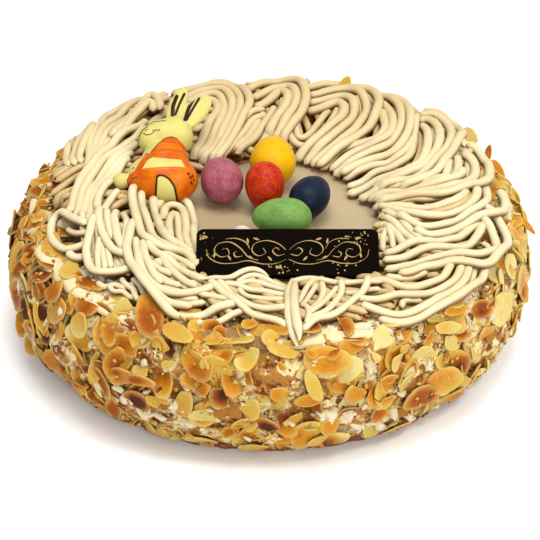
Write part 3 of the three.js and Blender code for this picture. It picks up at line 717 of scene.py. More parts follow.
def coat_paint():
    """Cream mask of the wall: ivory cream, thin beige smears and crumb showing through; the darker brown of
    the smears, seen in the gaps between the flakes, is partly the cream's own colour and partly painted shade
    there.
    """
    paint = Paint("coat")
    where = paint.place()
    patch = paint.noise(where, 7, 4, 0.65).step(0.44, 0.56)
    crumb = paint.noise(where, 6, 4, 0.7, 7.0).step(0.54, 0.6)
    speck = paint.noise(where, 1.0, 4, 0.75)
    lump = paint.noise(where, 2.6, 3, 0.6, 3.0)
    # Brown and ivory patches: the brown is partly the cream's own colour and partly painted shade in the gaps
    # between the flakes
    smear = paint.mix(patch, srgb(182, 120, 50), srgb(252, 230, 168))
    porous = paint.mix(speck, srgb(74, 32, 8), srgb(172, 102, 36))
    colour = paint.mix(crumb, smear, porous)
    relief = speck * (crumb * 0.5 + 0.3) + lump * 0.7 + patch * 0.3
    return paint.finish(colour, 0.65, relief, strength=1.0, depth=1.5, specular=0.1)


def rim_paint():
    """White cream over the rim, with a smear of praline and crumb along the front."""
    paint = Paint("rim_cream")
    where = paint.place()
    speck = paint.noise(where, 0.8, 3, 0.7)
    front = paint.along(where, (0, -1, 0)).step(66, 74)
    beside = paint.along(where, (1, 0, 0))
    stretch = beside.step(-44, -34) * beside.step(8, 0)
    smear = (paint.noise(where, 7, 4, 0.6) + front * stretch * 0.22).step(0.6, 0.68)
    cream = paint.mix(paint.noise(where, 10, 3), srgb(255, 242, 196), srgb(240, 212, 148))
    praline = paint.mix(speck, srgb(124, 74, 32), srgb(206, 164, 108))
    colour = paint.mix(smear, cream, praline)
    relief = speck * (smear * 0.8 + 0.3)
    return paint.finish(colour, 0.6, relief, strength=0.8, depth=0.8, specular=0.15)


def sponge_paint():
    """Brown crumb with pores, painted darker towards the middle of each pore as painted shade in the holes.
    """
    paint = Paint("sponge")
    where = paint.place()
    pores = paint.cells(where, 1.1)
    speck = paint.noise(where, 0.7, 4, 0.7)
    # Darker in the pores: painted shade in the holes; the specks are the crumb's own uneven tone
    colour = paint.mix(speck * 0.6 + pores * 0.5, srgb(112, 60, 26), srgb(190, 122, 62))
    return paint.finish(colour, 0.9, pores + speck, strength=0.9, depth=0.8)


def floor_cream_paint():
    """Smooth praline cream in the middle of the nest, whiter and rougher at the rim, with patches of darker
    brown there that are partly the cream's own colour and partly painted shade under the outer strands.
    """
    paint = Paint("smooth_cream")
    where = paint.place()
    reach = (paint.along(where, (1, 0, 0)) ** 2 + paint.along(where, (0, 1, 0)) ** 2).root()
    rim = (reach + paint.noise(where, 9, 3) * 6).step(80, 88)
    broad = paint.noise(where, 30, 2)
    speck = paint.noise(where, 0.6, 3, 0.7)
    smooth = paint.mix(broad, srgb(204, 182, 142), srgb(188, 166, 126))
    patch = paint.noise(where, 11, 3, 0.6, 3.0).step(0.45, 0.6)
    # White and darker brown patches at the rim; the brown is partly painted shade under the outer strands
    edge = paint.mix(patch, srgb(242, 220, 172), srgb(194, 152, 96))
    colour = paint.mix(rim, smooth, edge)
    relief = speck * (rim * 0.8 + 0.12) + broad * 0.5
    return paint.finish(colour, 0.38, relief, strength=0.4, depth=0.4)


def almond_paint():
    """Toasted flakes. Marks: toast of the spot, tone of the flake, nearness to its rim; near the rim the
    colour is painted paler, a painted glow of light through the thin edge.
    """
    paint = Paint("almond")
    where = paint.place()
    toast, tone, rim = paint.marks("marks")
    grain = paint.noise(where, 0.8, 4, 0.65)
    cloud = paint.noise(where, 3.0, 3, 0.6)
    level = toast + (cloud - 0.5) * 0.45 + (grain - 0.5) * 0.2
    light = paint.mix(tone, srgb(240, 222, 152), srgb(206, 182, 88))
    pale = paint.mix(level.step(-0.3, 0.12), light, srgb(214, 170, 64))
    golden = paint.mix(level.step(0.08, 0.42), pale, srgb(210, 136, 24))
    brown = paint.mix(level.step(0.42, 0.8), golden, srgb(160, 76, 6))
    dark = paint.mix(level.step(0.85, 1.2), brown, srgb(80, 30, 4))
    # Painted light: the rim of each flake glows a pale yellow, as light through the thin edge
    colour = paint.mix(rim * 0.5, dark, srgb(248, 214, 120))
    rough = grain * 0.2 + level.step(0.2, 0.8) * 0.3 + 0.26
    return paint.finish(colour, rough, grain + cloud, strength=0.6, depth=0.5, specular=0.12)


def egg_paint(name, main, pale, deep, mottle, speck, roughness):
    """Sugar shell: mottled in clouds, with fine pale specks."""
    paint = Paint(name)
    where = paint.place()
    cloud = paint.noise(where, 3.2, 4, 0.6)
    dots = paint.cells(where, 0.75).step(0.34, 0.12)
    fine = paint.noise(where, 0.5, 3, 0.6)
    base = paint.mix(cloud.step(0.38, 0.66) * mottle, main, deep)
    colour = paint.mix(dots * speck + (fine.step(0.55, 0.8) * speck * 0.6), base, pale)
    relief = fine + dots * 0.3
    return paint.finish(colour, fine * 0.12 + roughness, relief, strength=0.12, depth=0.12, specular=0.12)


def chocolate_paint():
    """Dark chocolate with a dull sheen."""
    paint = Paint("chocolate")
    where = paint.place()
    cloud = paint.noise(where, 9, 3)
    colour = paint.mix(cloud, srgb(8, 3, 1), srgb(15, 8, 4))
    relief = paint.noise(where, 5, 2)
    return paint.finish(colour, cloud * 0.1 + 0.42, relief, strength=0.05, depth=0.3, specular=0.01)


def gold_paint():
    """Dull gold of the print."""
    paint = Paint("gold_print")
    where = paint.place()
    grain = paint.noise(where, 0.5, 3)
    colour = paint.mix(grain, srgb(168, 136, 50), srgb(114, 88, 28))
    return paint.finish(colour, 0.42, grain, strength=0.2, depth=0.1, metallic=0.35)


# Cake body, wall flakes and crumbs


def pushed(points, distance):
    """Points moved away from the axis of the cake by distances."""
    reach = np.hypot(points[:, 0], points[:, 1])
    push = 1 + distance / np.maximum(reach, 1)
    return np.c_[points[:, 0] * push, points[:, 1] * push, points[:, 2]]


def lumpy_wall(points):
    """Pushes points of the wall in and out, as a spatula leaves them."""
    deepest = 0.9
    smooth_foot = 6
    angle = np.arctan2(points[:, 1], points[:, 0])
    round_wall = np.cos(angle) * WALL_ROUND, np.sin(angle) * WALL_ROUND
    lump = waves(*round_wall, points[:, 2] * 1.4, seed=3, longest=30, shortest=4, terms=18)
    inside = np.clip(np.hypot(points[:, 0], points[:, 1]) / EVEN_RADIUS - 0.5, 0, 1)
    low = np.clip((points[:, 2] - BASE_HEIGHT) / smooth_foot, 0, 1)
    return pushed(points, lump * deepest * inside * low)


def crumbly_foot(points):
    """Roughens the outside of the sponge foot."""
    deepest = 0.5
    angle = np.arctan2(points[:, 1], points[:, 0])
    round_foot = np.cos(angle) * FOOT_ROUND, np.sin(angle) * FOOT_ROUND
    rough = waves(*round_foot, points[:, 2], seed=5, longest=14, shortest=1.5, terms=12)
    return pushed(points, rough * deepest * (np.hypot(points[:, 0], points[:, 1]) > EVEN_RADIUS))


def swirled_top(points):
    """Leaves faint swirls on the smooth cream and lets its rim droop."""
    swirl_depth, droop_depth = 0.25, 1.1
    droop_start, droop_width = 84, 7
    upper = (points[:, 2] > FLOOR - 0.5).astype(float)
    swirl = waves(points[:, 0], points[:, 1], seed=8, longest=50, shortest=9) * swirl_depth
    reach = np.hypot(points[:, 0], points[:, 1])
    droop = np.clip((reach - droop_start) / droop_width, 0, 1) ** 2 * droop_depth
    return np.c_[points[:, :2], points[:, 2] + upper * (swirl - droop)]


def cake_wall():
    """Cream mask of the wall."""
    rows, around = 46, 420
    foot, top = BASE_HEIGHT + 0.3, WALL[-1][0]
    side = [(float(radius_at(WALL, z)), float(z)) for z in np.linspace(foot, top, rows)]
    profile = [(0, foot), (EVEN_RADIUS, foot), *side, (EVEN_RADIUS + 10, top + 0.1), (0, top + 0.1)]
    turned("cream_coat", profile, around, coat_paint(), lumpy_wall,
           replaces=("cake_body",), slot="almond_coat")


def sponge_foot():
    """Rough edge of the sponge under the mask."""
    rows, around = 9, 720
    top = BASE_HEIGHT + 0.2
    side = [(BASE_RADIUS - 0.4 + 0.6 * chance(i), 0.15 + top * i / rows) for i in range(rows + 1)]
    profile = [(0, 0), (BASE_RADIUS - 1.2, 0), *side, (EVEN_RADIUS, top), (0, top)]
    turned("sponge_foot", profile, around, sponge_paint(), crumbly_foot,
           replaces=("sponge_base",), slot="sponge")


def smooth_top():
    """Smooth cream inside the nest, out to the rim."""
    rows, around = 30, 180
    top = FLOOR - 0.1
    rim = RIM_RADIUS - 0.5
    profile = [(0, CREAM_UNDERSIDE), (RIM_RADIUS - 3, CREAM_UNDERSIDE), (RIM_RADIUS, CREAM_UNDERSIDE + 0.4)]
    profile += [(rim * (1 - i / rows), top) for i in range(rows + 1)]
    turned("smooth_top", profile, around, floor_cream_paint(), swirled_top,
           replaces=("top_cream",), slot="praline_smooth")


def flake_shape(length, width, broken, draw):
    """Points and faces of one flake lying flat, and how near each point is to the rim."""
    around = 16
    pointed = 0.16
    angles = circle(around)
    a, b = length / 2, width / 2
    outline = np.c_[a * np.cos(angles), b * np.sin(angles) * (1 - pointed * np.cos(angles))]
    outline *= draws(draw, 0.94, 1.04, around)[:, None]
    if broken:
        # One side, or two, broken off along a ragged line
        for side in ((1, 0), (0, 1))[:draw.choice((1, 1, 2))]:
            normal = np.array(side) + draws(draw, -0.5, 0.5, 2)
            normal /= np.linalg.norm(normal)
            cut = draw.uniform(0.0, 0.5) * (a if side[0] else b)
            over = np.maximum(outline @ normal - cut - draws(draw, -0.35, 0.35, around), 0)
            outline -= over[:, None] * normal
    thick = draw.uniform(0.3, 0.45)
    bend = draw.uniform(-0.8, 1.5)
    twist = draw.uniform(-0.5, 0.5)

    def surface(share, side):
        xy = outline * share
        arch = bend * ((xy[:, 0] / a) ** 2 - 0.4) + twist * xy[:, 0] * xy[:, 1] / (a * b)
        lip = thick * (1 - 0.2 * share ** 4)
        return np.c_[xy, arch + side * lip]

    rings = [surface(s, 1) for s in (0.35, 0.7, 0.9, 1.0)] + [surface(s, -1) for s in (1.0, 0.5)]
    # Rim nearness, which the almond paint turns into a painted glow along the edge
    rim = np.repeat([0.0, 0.05, 0.45, 1.0, 1.0, 0.1], around)
    return np.concatenate(rings), ring_faces(len(rings), around), rim


def shell_place(share, angle):
    """Point on the outside of the cake, its directions around, up and out, for a share of the way from the
    foot over the rim."""
    heights, radii = np.array(SHELL, float).T
    lengths = travelled(np.array(SHELL, float))
    near = 3

    def spot(distance):
        return np.array([np.interp(distance, lengths, radii), np.interp(distance, lengths, heights)])

    distance = share * lengths[-1]
    radius, height = spot(distance)
    climb = spot(min(distance + near, lengths[-1])) - spot(max(distance - near, 0))
    climb /= np.linalg.norm(climb)
    cosine, sine = math.cos(angle), math.sin(angle)
    around = np.array([-sine, cosine, 0])
    up = np.array([climb[0] * cosine, climb[0] * sine, climb[1]])
    out = np.cross(around, up)
    return np.array([radius * cosine, radius * sine, height]), around, up, out


def place_flake(points, angle, share, proud, spin, tip, lean):
    """Turns a flat flake onto the outside of the cake: spun in its plane, then tipped and leant, and pressed
    in until it stands proud by a distance."""
    turns = Matrix.Rotation(lean, 3, "Y"), Matrix.Rotation(tip, 3, "X"), Matrix.Rotation(spin, 3, "Z")
    local = points @ np.array(turns[0] @ turns[1] @ turns[2]).T
    local[:, 2] += proud - local[:, 2].max()
    return on_axes(local, *shell_place(share, angle))


def within_envelope(points):
    """Keeps a flake off the foot and inside the cake's outline."""
    reach = np.hypot(points[:, 0], points[:, 1])
    pull = np.minimum(1, radius_at(ENVELOPE, points[:, 2]) / np.maximum(reach, 1))
    return np.c_[points[:, 0] * pull, points[:, 1] * pull, np.clip(points[:, 2], *FLAKE_LEVELS)]


def flake_marks(points, rim, draw):
    """Toast, tone and rim nearness for each point of a flake in its flat position. About two in five flakes
    are pale, a quarter golden and a fifth brown, both with a browner spot, and the rest have a burnt one."""
    pale, golden, brown = 0.38, 0.64, 0.84
    kind = draw.random()
    x, y = draw.uniform(-3, 3), draw.uniform(-2, 2)
    distance = np.hypot(points[:, 0] - x, points[:, 1] - y)
    if kind < pale:
        toast = np.full(len(points), draw.uniform(-0.2, 0.1))
    elif kind < golden:
        toast = 0.2 + 0.35 * np.exp(-(distance / 5) ** 2)
    elif kind < brown:
        toast = 0.45 + draw.uniform(0.1, 0.4) * np.exp(-(distance / 4) ** 2)
    else:
        toast = 0.5 + draw.uniform(0.5, 0.9) * np.exp(-(distance / 4.5) ** 2)
    # One end of a flake is more toasted than the other
    toast = toast + draw.uniform(-0.4, 0.4) * points[:, 0] / np.abs(points[:, 0]).max()
    return np.c_[toast, np.full(len(points), draw.random()), rim]


def flake_density(angle):
    """The right front is barer than the rest."""
    barest = math.radians(-40)
    return 1 - 0.3 * max(0, math.cos(angle - barest)) ** 2


def sight_line(u, v, y):
    """Places in space behind a pixel of the photograph, for depths y."""
    up = (TARGET_PIXEL[1] - v) / FOCAL_PIXELS
    above = (up * (CAMERA_DISTANCE + RISE_COSINE * y) - RISE_SINE * y) / (RISE_COSINE + RISE_SINE * up)
    x = (u - TARGET_PIXEL[0]) * (CAMERA_DISTANCE + RISE_COSINE * y - RISE_SINE * above) / FOCAL_PIXELS
    return x, TARGET[2] + above


def on_picture(place):
    """Pixel of the photograph on which a place of the cake falls."""
    x, y, z = np.asarray(place) - TARGET
    depth = CAMERA_DISTANCE + RISE_COSINE * y - RISE_SINE * z
    return np.array([TARGET_PIXEL[0] + FOCAL_PIXELS * x / depth,
                     TARGET_PIXEL[1] - FOCAL_PIXELS * (RISE_SINE * y + RISE_COSINE * z) / depth])


def on_shell(u, v):
    """Share and angle of the place on the outside of the cake that a pixel of the photograph shows, or
    nothing for a pixel past its outline."""
    farthest, steps = 60, 200
    y = np.arange(FRONT_DEPTH, farthest, DEPTH_STEP)
    x, z = sight_line(u, v, y)
    inside = (z < SHELL_TOP) & (np.hypot(x, y) < radius_at(SHELL, z))
    if not inside.any():
        return None
    i = inside.argmax()
    angle = math.atan2(y[i], x[i])
    shares = np.linspace(0, 1, steps)
    places = [shell_place(share, angle)[0] for share in shares]
    return shares[np.argmin([np.linalg.norm(place - (x[i], y[i], z[i])) for place in places])], angle


def plan_axes(share, angle, length, width, degrees):
    """Lengths on the wall, around and up, of two square strokes seen on the picture."""
    _, around, up, _ = shell_place(share, angle)
    on_screen = np.array([[1, 0], [0, RISE_SINE], [0, RISE_COSINE]])
    steps = PIXELS_PER_MM * np.array([around, up]) @ on_screen
    turn = math.radians(degrees)
    long_axis = np.linalg.solve(steps.T, (length * math.cos(turn), length * math.sin(turn)))
    short_axis = np.linalg.solve(steps.T, (-width * math.sin(turn), width * math.cos(turn)))
    return long_axis, short_axis


def seen_flakes(almond, draw):
    """Builds the flakes traced from the photograph."""
    batch = Batch()
    longest, broadest, roundest = 22, 14, 0.85
    for u, v, length, width, degrees, toast in FLAKES_SEEN:
        found = on_shell(u, v)
        if found is None:
            continue
        share, angle = found
        long_axis, short_axis = plan_axes(share, angle, length, width, degrees)
        size = min(np.linalg.norm(long_axis), longest)
        breadth = min(np.linalg.norm(short_axis), broadest, roundest * size)
        points, faces, rim = flake_shape(size, breadth, draw.random() < 0.5, draw)
        distance = np.hypot(points[:, 0] / size, points[:, 1] / breadth)
        centre = max(toast - 0.2, 0) * 0.7 * np.exp(-(distance / 0.3) ** 2)
        # One end of a flake is more toasted than the other; the flake is also painted a little darker on the
        # left and paler on the right, as painted shade and light by side
        uneven = draw.uniform(-0.7, 0.7) * points[:, 0] / size - 0.12 * math.cos(angle)
        marks = np.c_[toast * 0.85 + centre + uneven, np.full(len(points), draw.random()), rim]
        spin = math.atan2(long_axis[1], long_axis[0])
        placed = place_flake(points, angle, share, draw.uniform(2.5, 3.8), spin,
                             draw.gauss(0.05, 0.25), draw.gauss(0, 0.25))
        batch.add(within_envelope(placed), faces, marks)
    batch.build("flakes_front", almond, slot="almond_coat")


def rim_flakes(draw):
    """Flakes that stick out past the rim; each faces the camera where its sight line grazes the cake."""
    batch = Batch()
    crest_width, strand_layer = 50, 3
    screen = [1, 0, 0], [0, RISE_SINE, RISE_COSINE], [0, -RISE_COSINE, RISE_SINE]
    y = np.arange(FRONT_DEPTH, -FRONT_DEPTH, DEPTH_STEP)
    for u, v, length, width, degrees, toast in FLAKES_RIM:
        x, z = sight_line(u, v, y)
        reach = np.hypot(x, y)
        gap = reach - radius_at(SHELL, z) + 10 * np.maximum(z - SHELL_TOP, 0)
        # At the back the flakes rest on the crest of the nest
        at_crest = (reach < FAR_CREST_RADIUS) & (np.abs(x) < crest_width)
        over_crest = np.abs(z - FLOOR - strand_layer - core_rise(x, y))
        i = np.where(at_crest, np.minimum(gap, over_crest), gap).argmin()
        points, faces, rim = flake_shape(length / PIXELS_PER_MM, width / PIXELS_PER_MM, False, draw)
        turn = Matrix.Rotation(draw.gauss(0, 0.25), 3, "X") @ Matrix.Rotation(math.radians(degrees), 3, "Z")
        placed = on_axes(points @ np.array(turn).T, (x[i], y[i], z[i]), *screen)
        marks = np.c_[np.full(len(points), toast * 0.85), np.full(len(points), draw.random()), rim]
        batch.add(placed, faces, marks)
    batch.build("flakes_rim", bpy.data.materials["almond"], slot="almond_coat")


def cream_smears():
    """Bare cream of the wall and the rim in the places that the photograph shows."""
    draw = random.Random(63)
    batch = Batch()
    rows, around = 12, 44
    thick = 1.6
    turn = circle(around)
    for number, (u, v, width, height) in enumerate(CREAM_SEEN):
        share, angle = on_shell(u, v)
        long_axis, short_axis = plan_axes(share, angle, width, height, 0)
        ragged = 1 + 0.3 * waves(np.cos(turn) * 9, np.sin(turn) * 9, seed=number, longest=12, shortest=3)
        rings = []
        for row in range(1, rows + 1):
            reach = row / rows
            flat = (np.outer(np.cos(turn), long_axis) + np.outer(np.sin(turn), short_axis)) / 2
            flat = flat * (ragged * reach)[:, None]
            lump = waves(flat[:, 0], flat[:, 1], seed=number + 50, longest=7, shortest=1.3)
            rings.append(np.c_[flat, (1 - reach ** 3) * thick + lump * 0.75 - thick * (reach == 1)])
        local = np.concatenate(rings)
        placed = place_flake(local, angle, share, draw.uniform(1.5, 2.1), 0, 0, 0)
        batch.add(within_envelope(placed), ring_faces(rows, around))
    white = cream_paint("smear_cream", srgb(250, 236, 204), srgb(232, 208, 160), 0.5)
    batch.build("cream_smears", white, slot="almond_coat")


def covered(place, out):
    """What is traced on a place of the side that the photograph shows: cream, a flake or nothing."""
    facing_away = 0.2
    if out[1] > facing_away:
        return None
    pixel = on_picture(place)
    for u, v, width, height in CREAM_SEEN:
        size = width + CREAM_MARGIN, height + CREAM_MARGIN
        if np.hypot(*((pixel - (u, v)) / size)) < 0.5:
            return "cream"
    near_flake = any(np.hypot(*(pixel - flake[:2])) < 0.45 * flake[2] for flake in FLAKES_SEEN)
    return "flake" if near_flake else None


def wall_flakes():
    """Flakes pressed all over the wall, lying, tilted and standing on edge."""
    draw = random.Random(41)
    almond = almond_paint()
    seen_flakes(almond, random.Random(77))
    golden = math.pi * (3 - math.sqrt(5))
    lowest, covered_share = 0.01, 0.985
    large_chance, large = 0.08, 1.25
    standing_tilt = 0.7
    for name, (count, lengths, ratios, tilts, prouds) in FLAKE_KINDS.items():
        batch = Batch()
        for i in range(count):
            share = (i + draw.random()) / count * covered_share + lowest
            angle = i * golden + draw.uniform(-0.12, 0.12)
            middle, _, _, out = shell_place(share, angle)
            traced = covered(middle, out)
            if draw.random() > flake_density(angle) or traced == "cream":
                continue
            length = draw.uniform(*lengths) * (large if draw.random() < large_chance else 1)
            broken = name != "flakes_whole"
            points, faces, rim = flake_shape(length, length * draw.uniform(*ratios), broken, draw)
            marks = flake_marks(points, rim, draw)
            # The flakes are painted darker on the left and paler on the right, as painted shade on the left
            # side and painted light on the right
            marks[:, 0] += 0.02 - 0.32 * math.cos(angle)
            tilt = draw.uniform(*tilts)
            aim = draw.uniform(-math.pi, math.pi)
            spin = draw.uniform(-math.pi, math.pi)
            if abs(math.cos(angle)) > 0.5 and tilt > standing_tilt:
                # Standing flakes at the sides are upright, edge on to the camera
                spin = math.pi / 2 + draw.gauss(0, 0.3)
                aim = math.pi / 2 + draw.gauss(0, 0.25)
            proud = draw.uniform(*prouds)
            if traced:
                proud = min(proud, COVERED_PROUD)
            tip, lean = tilt * math.cos(aim), tilt * math.sin(aim)
            placed = place_flake(points, angle, share, proud, spin, tip, lean)
            batch.add(within_envelope(placed), faces, marks)
        batch.build(name, almond, slot="almond_coat")


def wall_crumbs():
    """Small chips of almond and crumb in the gaps between the flakes."""
    draw = random.Random(17)
    batch = Batch()
    around = 6
    levels = (0.5, 0.4), (1.0, 0.15), (0.9, -0.4)
    turn = circle(around)
    for _ in range(CRUMBS):
        share, angle = draw.random(), draw.uniform(0, 2 * math.pi)
        size = draw.uniform(0.4, 1.3)
        outline = np.c_[np.cos(turn), np.sin(turn)] * draws(draw, 0.6, 1.2, around)[:, None] * size
        points = np.concatenate([np.c_[outline * s, np.full(around, z * size)] for s, z in levels])
        placed = place_flake(points, angle, share, draw.uniform(0.6, 1.8), draw.uniform(-3, 3),
                             draw.gauss(0, 0.5), draw.gauss(0, 0.5))
        toast = draw.choice([-0.1, 0.0, 0.3, 0.5, 0.7])
        marks = np.tile([toast, draw.random(), 0.3], (len(points), 1))
        batch.add(within_envelope(placed), ring_faces(len(levels), around), marks)
    batch.build("almond_crumbs", bpy.data.materials["almond"], slot="almond_coat", smooth=False)


def rim_cream():
    """Uneven white cream over the rim, under the outermost strands."""
    around = 360
    angles = circle(around)
    x, y = np.cos(angles), np.sin(angles)
    even_level, fading = 47.3, 1.5
    rings = []
    for radius, height in RIM_CREAM:
        places = x * RIM_ROUND, y * RIM_ROUND, np.full(around, radius * 1.3)
        lump = waves(*places, seed=21, longest=40, shortest=5, terms=14)
        upper = float(np.clip((height - even_level) / fading, 0, 1))
        reach = radius + lump * 0.8 * upper
        rings.append(np.c_[x * reach, y * reach, height + lump * 0.45 * upper])
    faces = ring_faces(len(rings), around, "joined")
    build("rim_cream", np.concatenate(rings), faces, rim_paint(), slot="praline_smooth")


def cream_lumps():
    """Ragged bits of white cream squeezed out between the flakes."""
    draw = random.Random(29)
    batch = Batch()
    rows, around = 6, 9
    turn = circle(around)
    for _ in range(CREAM_LUMPS):
        share, angle = draw.random(), draw.uniform(0, 2 * math.pi)
        size, stretch = draw.uniform(0.9, 2.3), draw.uniform(0.9, 2.4)
        rings = []
        for row in range(1, rows):
            polar = math.pi * row / rows
            rough = draws(draw, 0.5, 1.3, around)
            level = draws(draw, -0.3, 0.3, around) + math.cos(polar)
            rings.append(np.c_[np.sin(polar) * np.cos(turn) * size * stretch * rough,
                               np.sin(polar) * np.sin(turn) * size * rough, level * size * 0.55])
        placed = place_flake(np.concatenate(rings), angle, share, draw.uniform(1.0, 2.4), draw.uniform(-3, 3),
                             draw.gauss(0, 0.3), draw.gauss(0, 0.3))
        batch.add(within_envelope(placed), ring_faces(rows - 1, around))
    white = cream_paint("lump_cream", srgb(246, 232, 198), srgb(228, 204, 158), 0.5)
    batch.build("cream_lumps", white, slot="almond_coat")


# Nest


def nest_reach(angle):
    """Radius to which the nest covers the cake; it stays further in at the front left."""
    apart = (angle - BARE_ANGLE + math.pi) % (2 * math.pi) - math.pi
    return NEST_COVER_RADIUS - BARE_DEPTH * np.exp(-(apart / BARE_SPREAD) ** 2)


def core_rise(x, y):
    """Height of the heap under the top strands, over the smooth cream."""
    flank, blunt = 0.7, 0.4
    dx = x - NEST_CENTRE[0]
    dy = y - NEST_CENTRE[1]
    radius = np.maximum(np.hypot(dx, dy), 1e-6)
    share = np.clip((radius - NEST_INNER_RADIUS) / (NEST_OUTER_RADIUS - NEST_INNER_RADIUS), 0, 1)
    crest = between(CREST_FRONT, CREST_BACK, (0.5 + dy / radius / 2) ** flank)
    apart = (np.arctan2(dy, dx) - LEFT_CREST_ANGLE) / LEFT_CREST_SPREAD
    crest = crest + LEFT_CREST_RISE * np.exp(-apart ** 2)
    return crest * np.sin(math.pi * share ** CREST_POWER).clip(0) ** blunt


def core_level(x, y):
    """Level of the core on which the strands are laid."""
    return FLOOR + np.maximum(core_rise(x, y) - CORE_DROP, 0)


class Heap:
    """Height map of the nest while it is piped."""

    CELL = 0.5
    HALF = 110

    def __init__(self):
        side = np.arange(-self.HALF, self.HALF, self.CELL)
        x, y = np.meshgrid(side, side, indexing="ij")
        self.heights = core_level(x, y)

    def index(self, xy):
        return np.clip(((xy + self.HALF) / self.CELL).round().astype(int), 8, len(self.heights) - 9)

    def offsets(self, radius):
        reach = int(radius / self.CELL) + 1
        steps = np.arange(-reach, reach + 1)
        dx, dy = np.meshgrid(steps, steps, indexing="ij")
        distance = np.hypot(dx, dy) * self.CELL
        keep = distance < radius
        return dx[keep], dy[keep], distance[keep]

    def support(self, xy, radius):
        """Highest level under a strand at each place."""
        i = self.index(xy)
        dx, dy, distance = self.offsets(radius)
        lift = np.sqrt(radius ** 2 - distance ** 2) - radius
        return (self.heights[i[:, 0, None] + dx, i[:, 1, None] + dy] + lift).max(axis=1)

    def lay(self, points, radius):
        """Raises the map to the top of a strand."""
        i = self.index(points[:, :2])
        dx, dy, distance = self.offsets(radius)
        tops = points[:, 2, None] + np.sqrt(radius ** 2 - distance ** 2)
        rows = i[:, 0, None] + dx
        columns = i[:, 1, None] + dy
        np.maximum.at(self.heights, (rows, columns), tops)

    def cover_plaque(self):
        """Raises the map to the top of the plaque."""
        middle, _, up, out, width, depth = plaque_frame()
        side = np.arange(-self.HALF, self.HALF, self.CELL)
        x, y = np.meshgrid(side, side, indexing="ij")
        slope = (y - middle[1]) / up[1]
        inside = (abs(x - middle[0]) < width / 2) & (abs(slope) < depth / 2)
        tops = middle[2] + slope * up[2] + PLAQUE_THICKNESS / 2 / out[2]
        self.heights = np.where(inside, np.maximum(self.heights, tops), self.heights)


def smoothed(values, width):
    """Weighted running mean over a number of samples, with the ends held."""
    pad = width // 2
    padded = np.pad(values, [(pad, pad)] + [(0, 0)] * (values.ndim - 1), mode="edge")
    kernel = np.hanning(2 * pad + 3)[1:-1]
    kernel /= kernel.sum()
    if values.ndim == 1:
        return np.convolve(padded, kernel, mode="valid")
    return np.stack([np.convolve(padded[:, k], kernel, mode="valid") for k in range(values.shape[1])], axis=1)


def spline(points, step=PATH_STEP):
    """Smooth path through points, sampled at even steps."""
    samples = 40
    knots = np.array(points, float)
    knots = np.vstack([2 * knots[0] - knots[1], knots, 2 * knots[-1] - knots[-2]])
    shares = np.linspace(0, 1, samples, endpoint=False)
    path = []
    for i in range(1, len(knots) - 2):
        p0, p1, p2, p3 = knots[i - 1:i + 3]
        for t in shares:
            path.append(0.5 * (2 * p1 + (p2 - p0) * t + (2 * p0 - 5 * p1 + 4 * p2 - p3) * t ** 2
                               + (3 * p1 - p0 - 3 * p2 + p3) * t ** 3))
    path.append(knots[-2])
    return even(np.array(path), step)


def even(path, step):
    """Resamples a path at even steps along its length."""
    lengths = travelled(path)
    count = max(4, int(lengths[-1] / step))
    places = np.linspace(0, lengths[-1], count)
    return np.stack([np.interp(places, lengths, path[:, k]) for k in range(path.shape[1])], axis=1)


def withdrawn(path, radius):
    """Keeps a strand inside the rim of the cake."""
    reach = np.hypot(path[:, 0], path[:, 1])
    ease = 2
    start = RIM_RADIUS + NEST_OVERHANG - radius * 0.5 - ease
    soft = np.where(reach > start, start + ease * np.tanh((reach - start) / ease), reach)
    return path * (soft / np.maximum(reach, 1e-6))[:, None]


def tube(path, radius, around=10, blunt=True):
    """Round strand along a path, its ends rounded or drawn out to a point."""
    tangent = units(np.gradient(path, axis=0))
    side = units(np.cross(tangent, [0, 0, 1.0]))
    up = np.cross(side, tangent)
    length = travelled(path)
    thinnest = 0.12
    taper = radius.max() * (1.0 if blunt else 4.0)
    share = np.clip(np.minimum(length, length[-1] - length) / taper, 0, 1)
    thin = np.sqrt(1 - (1 - share) ** 2) if blunt else between(thinnest, 1, share ** 0.7)
    size = radius * np.maximum(thin, thinnest)
    angles = circle(around)
    ring = side[:, None, :] * np.cos(angles)[None, :, None] + up[:, None, :] * np.sin(angles)[None, :, None]
    points = path[:, None, :] + ring * size[:, None, None]
    # Marks: how far each point faces up, which the strand paint turns into painted shade on the undersides
    marks = np.repeat(np.tile(np.sin(angles), len(path))[:, None], 3, axis=1)
    return points.reshape(-1, 3), ring_faces(len(path), around), marks


def guest_tree(names):
    """Search tree over the frame's solids, to keep strands out of them."""
    points = []
    faces = []
    for name in names:
        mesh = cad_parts[name].data
        start = len(points)
        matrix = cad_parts[name].matrix_world
        points.extend(matrix @ vertex.co / MM for vertex in mesh.vertices)
        faces.extend([start + index for index in face.vertices] for face in mesh.polygons)
    return BVHTree.FromPolygons(points, faces)


def ceilings(tree, path):
    """Underside of the guests over each place of a path, or a great height."""
    levels = []
    for x, y in path[:, :2]:
        hit = tree.ray_cast(Vector((x, y, FLOOR - 4)), Vector((0, 0, 1)))
        levels.append(hit[0].z if hit[0] else 1e3)
    return np.array(levels)


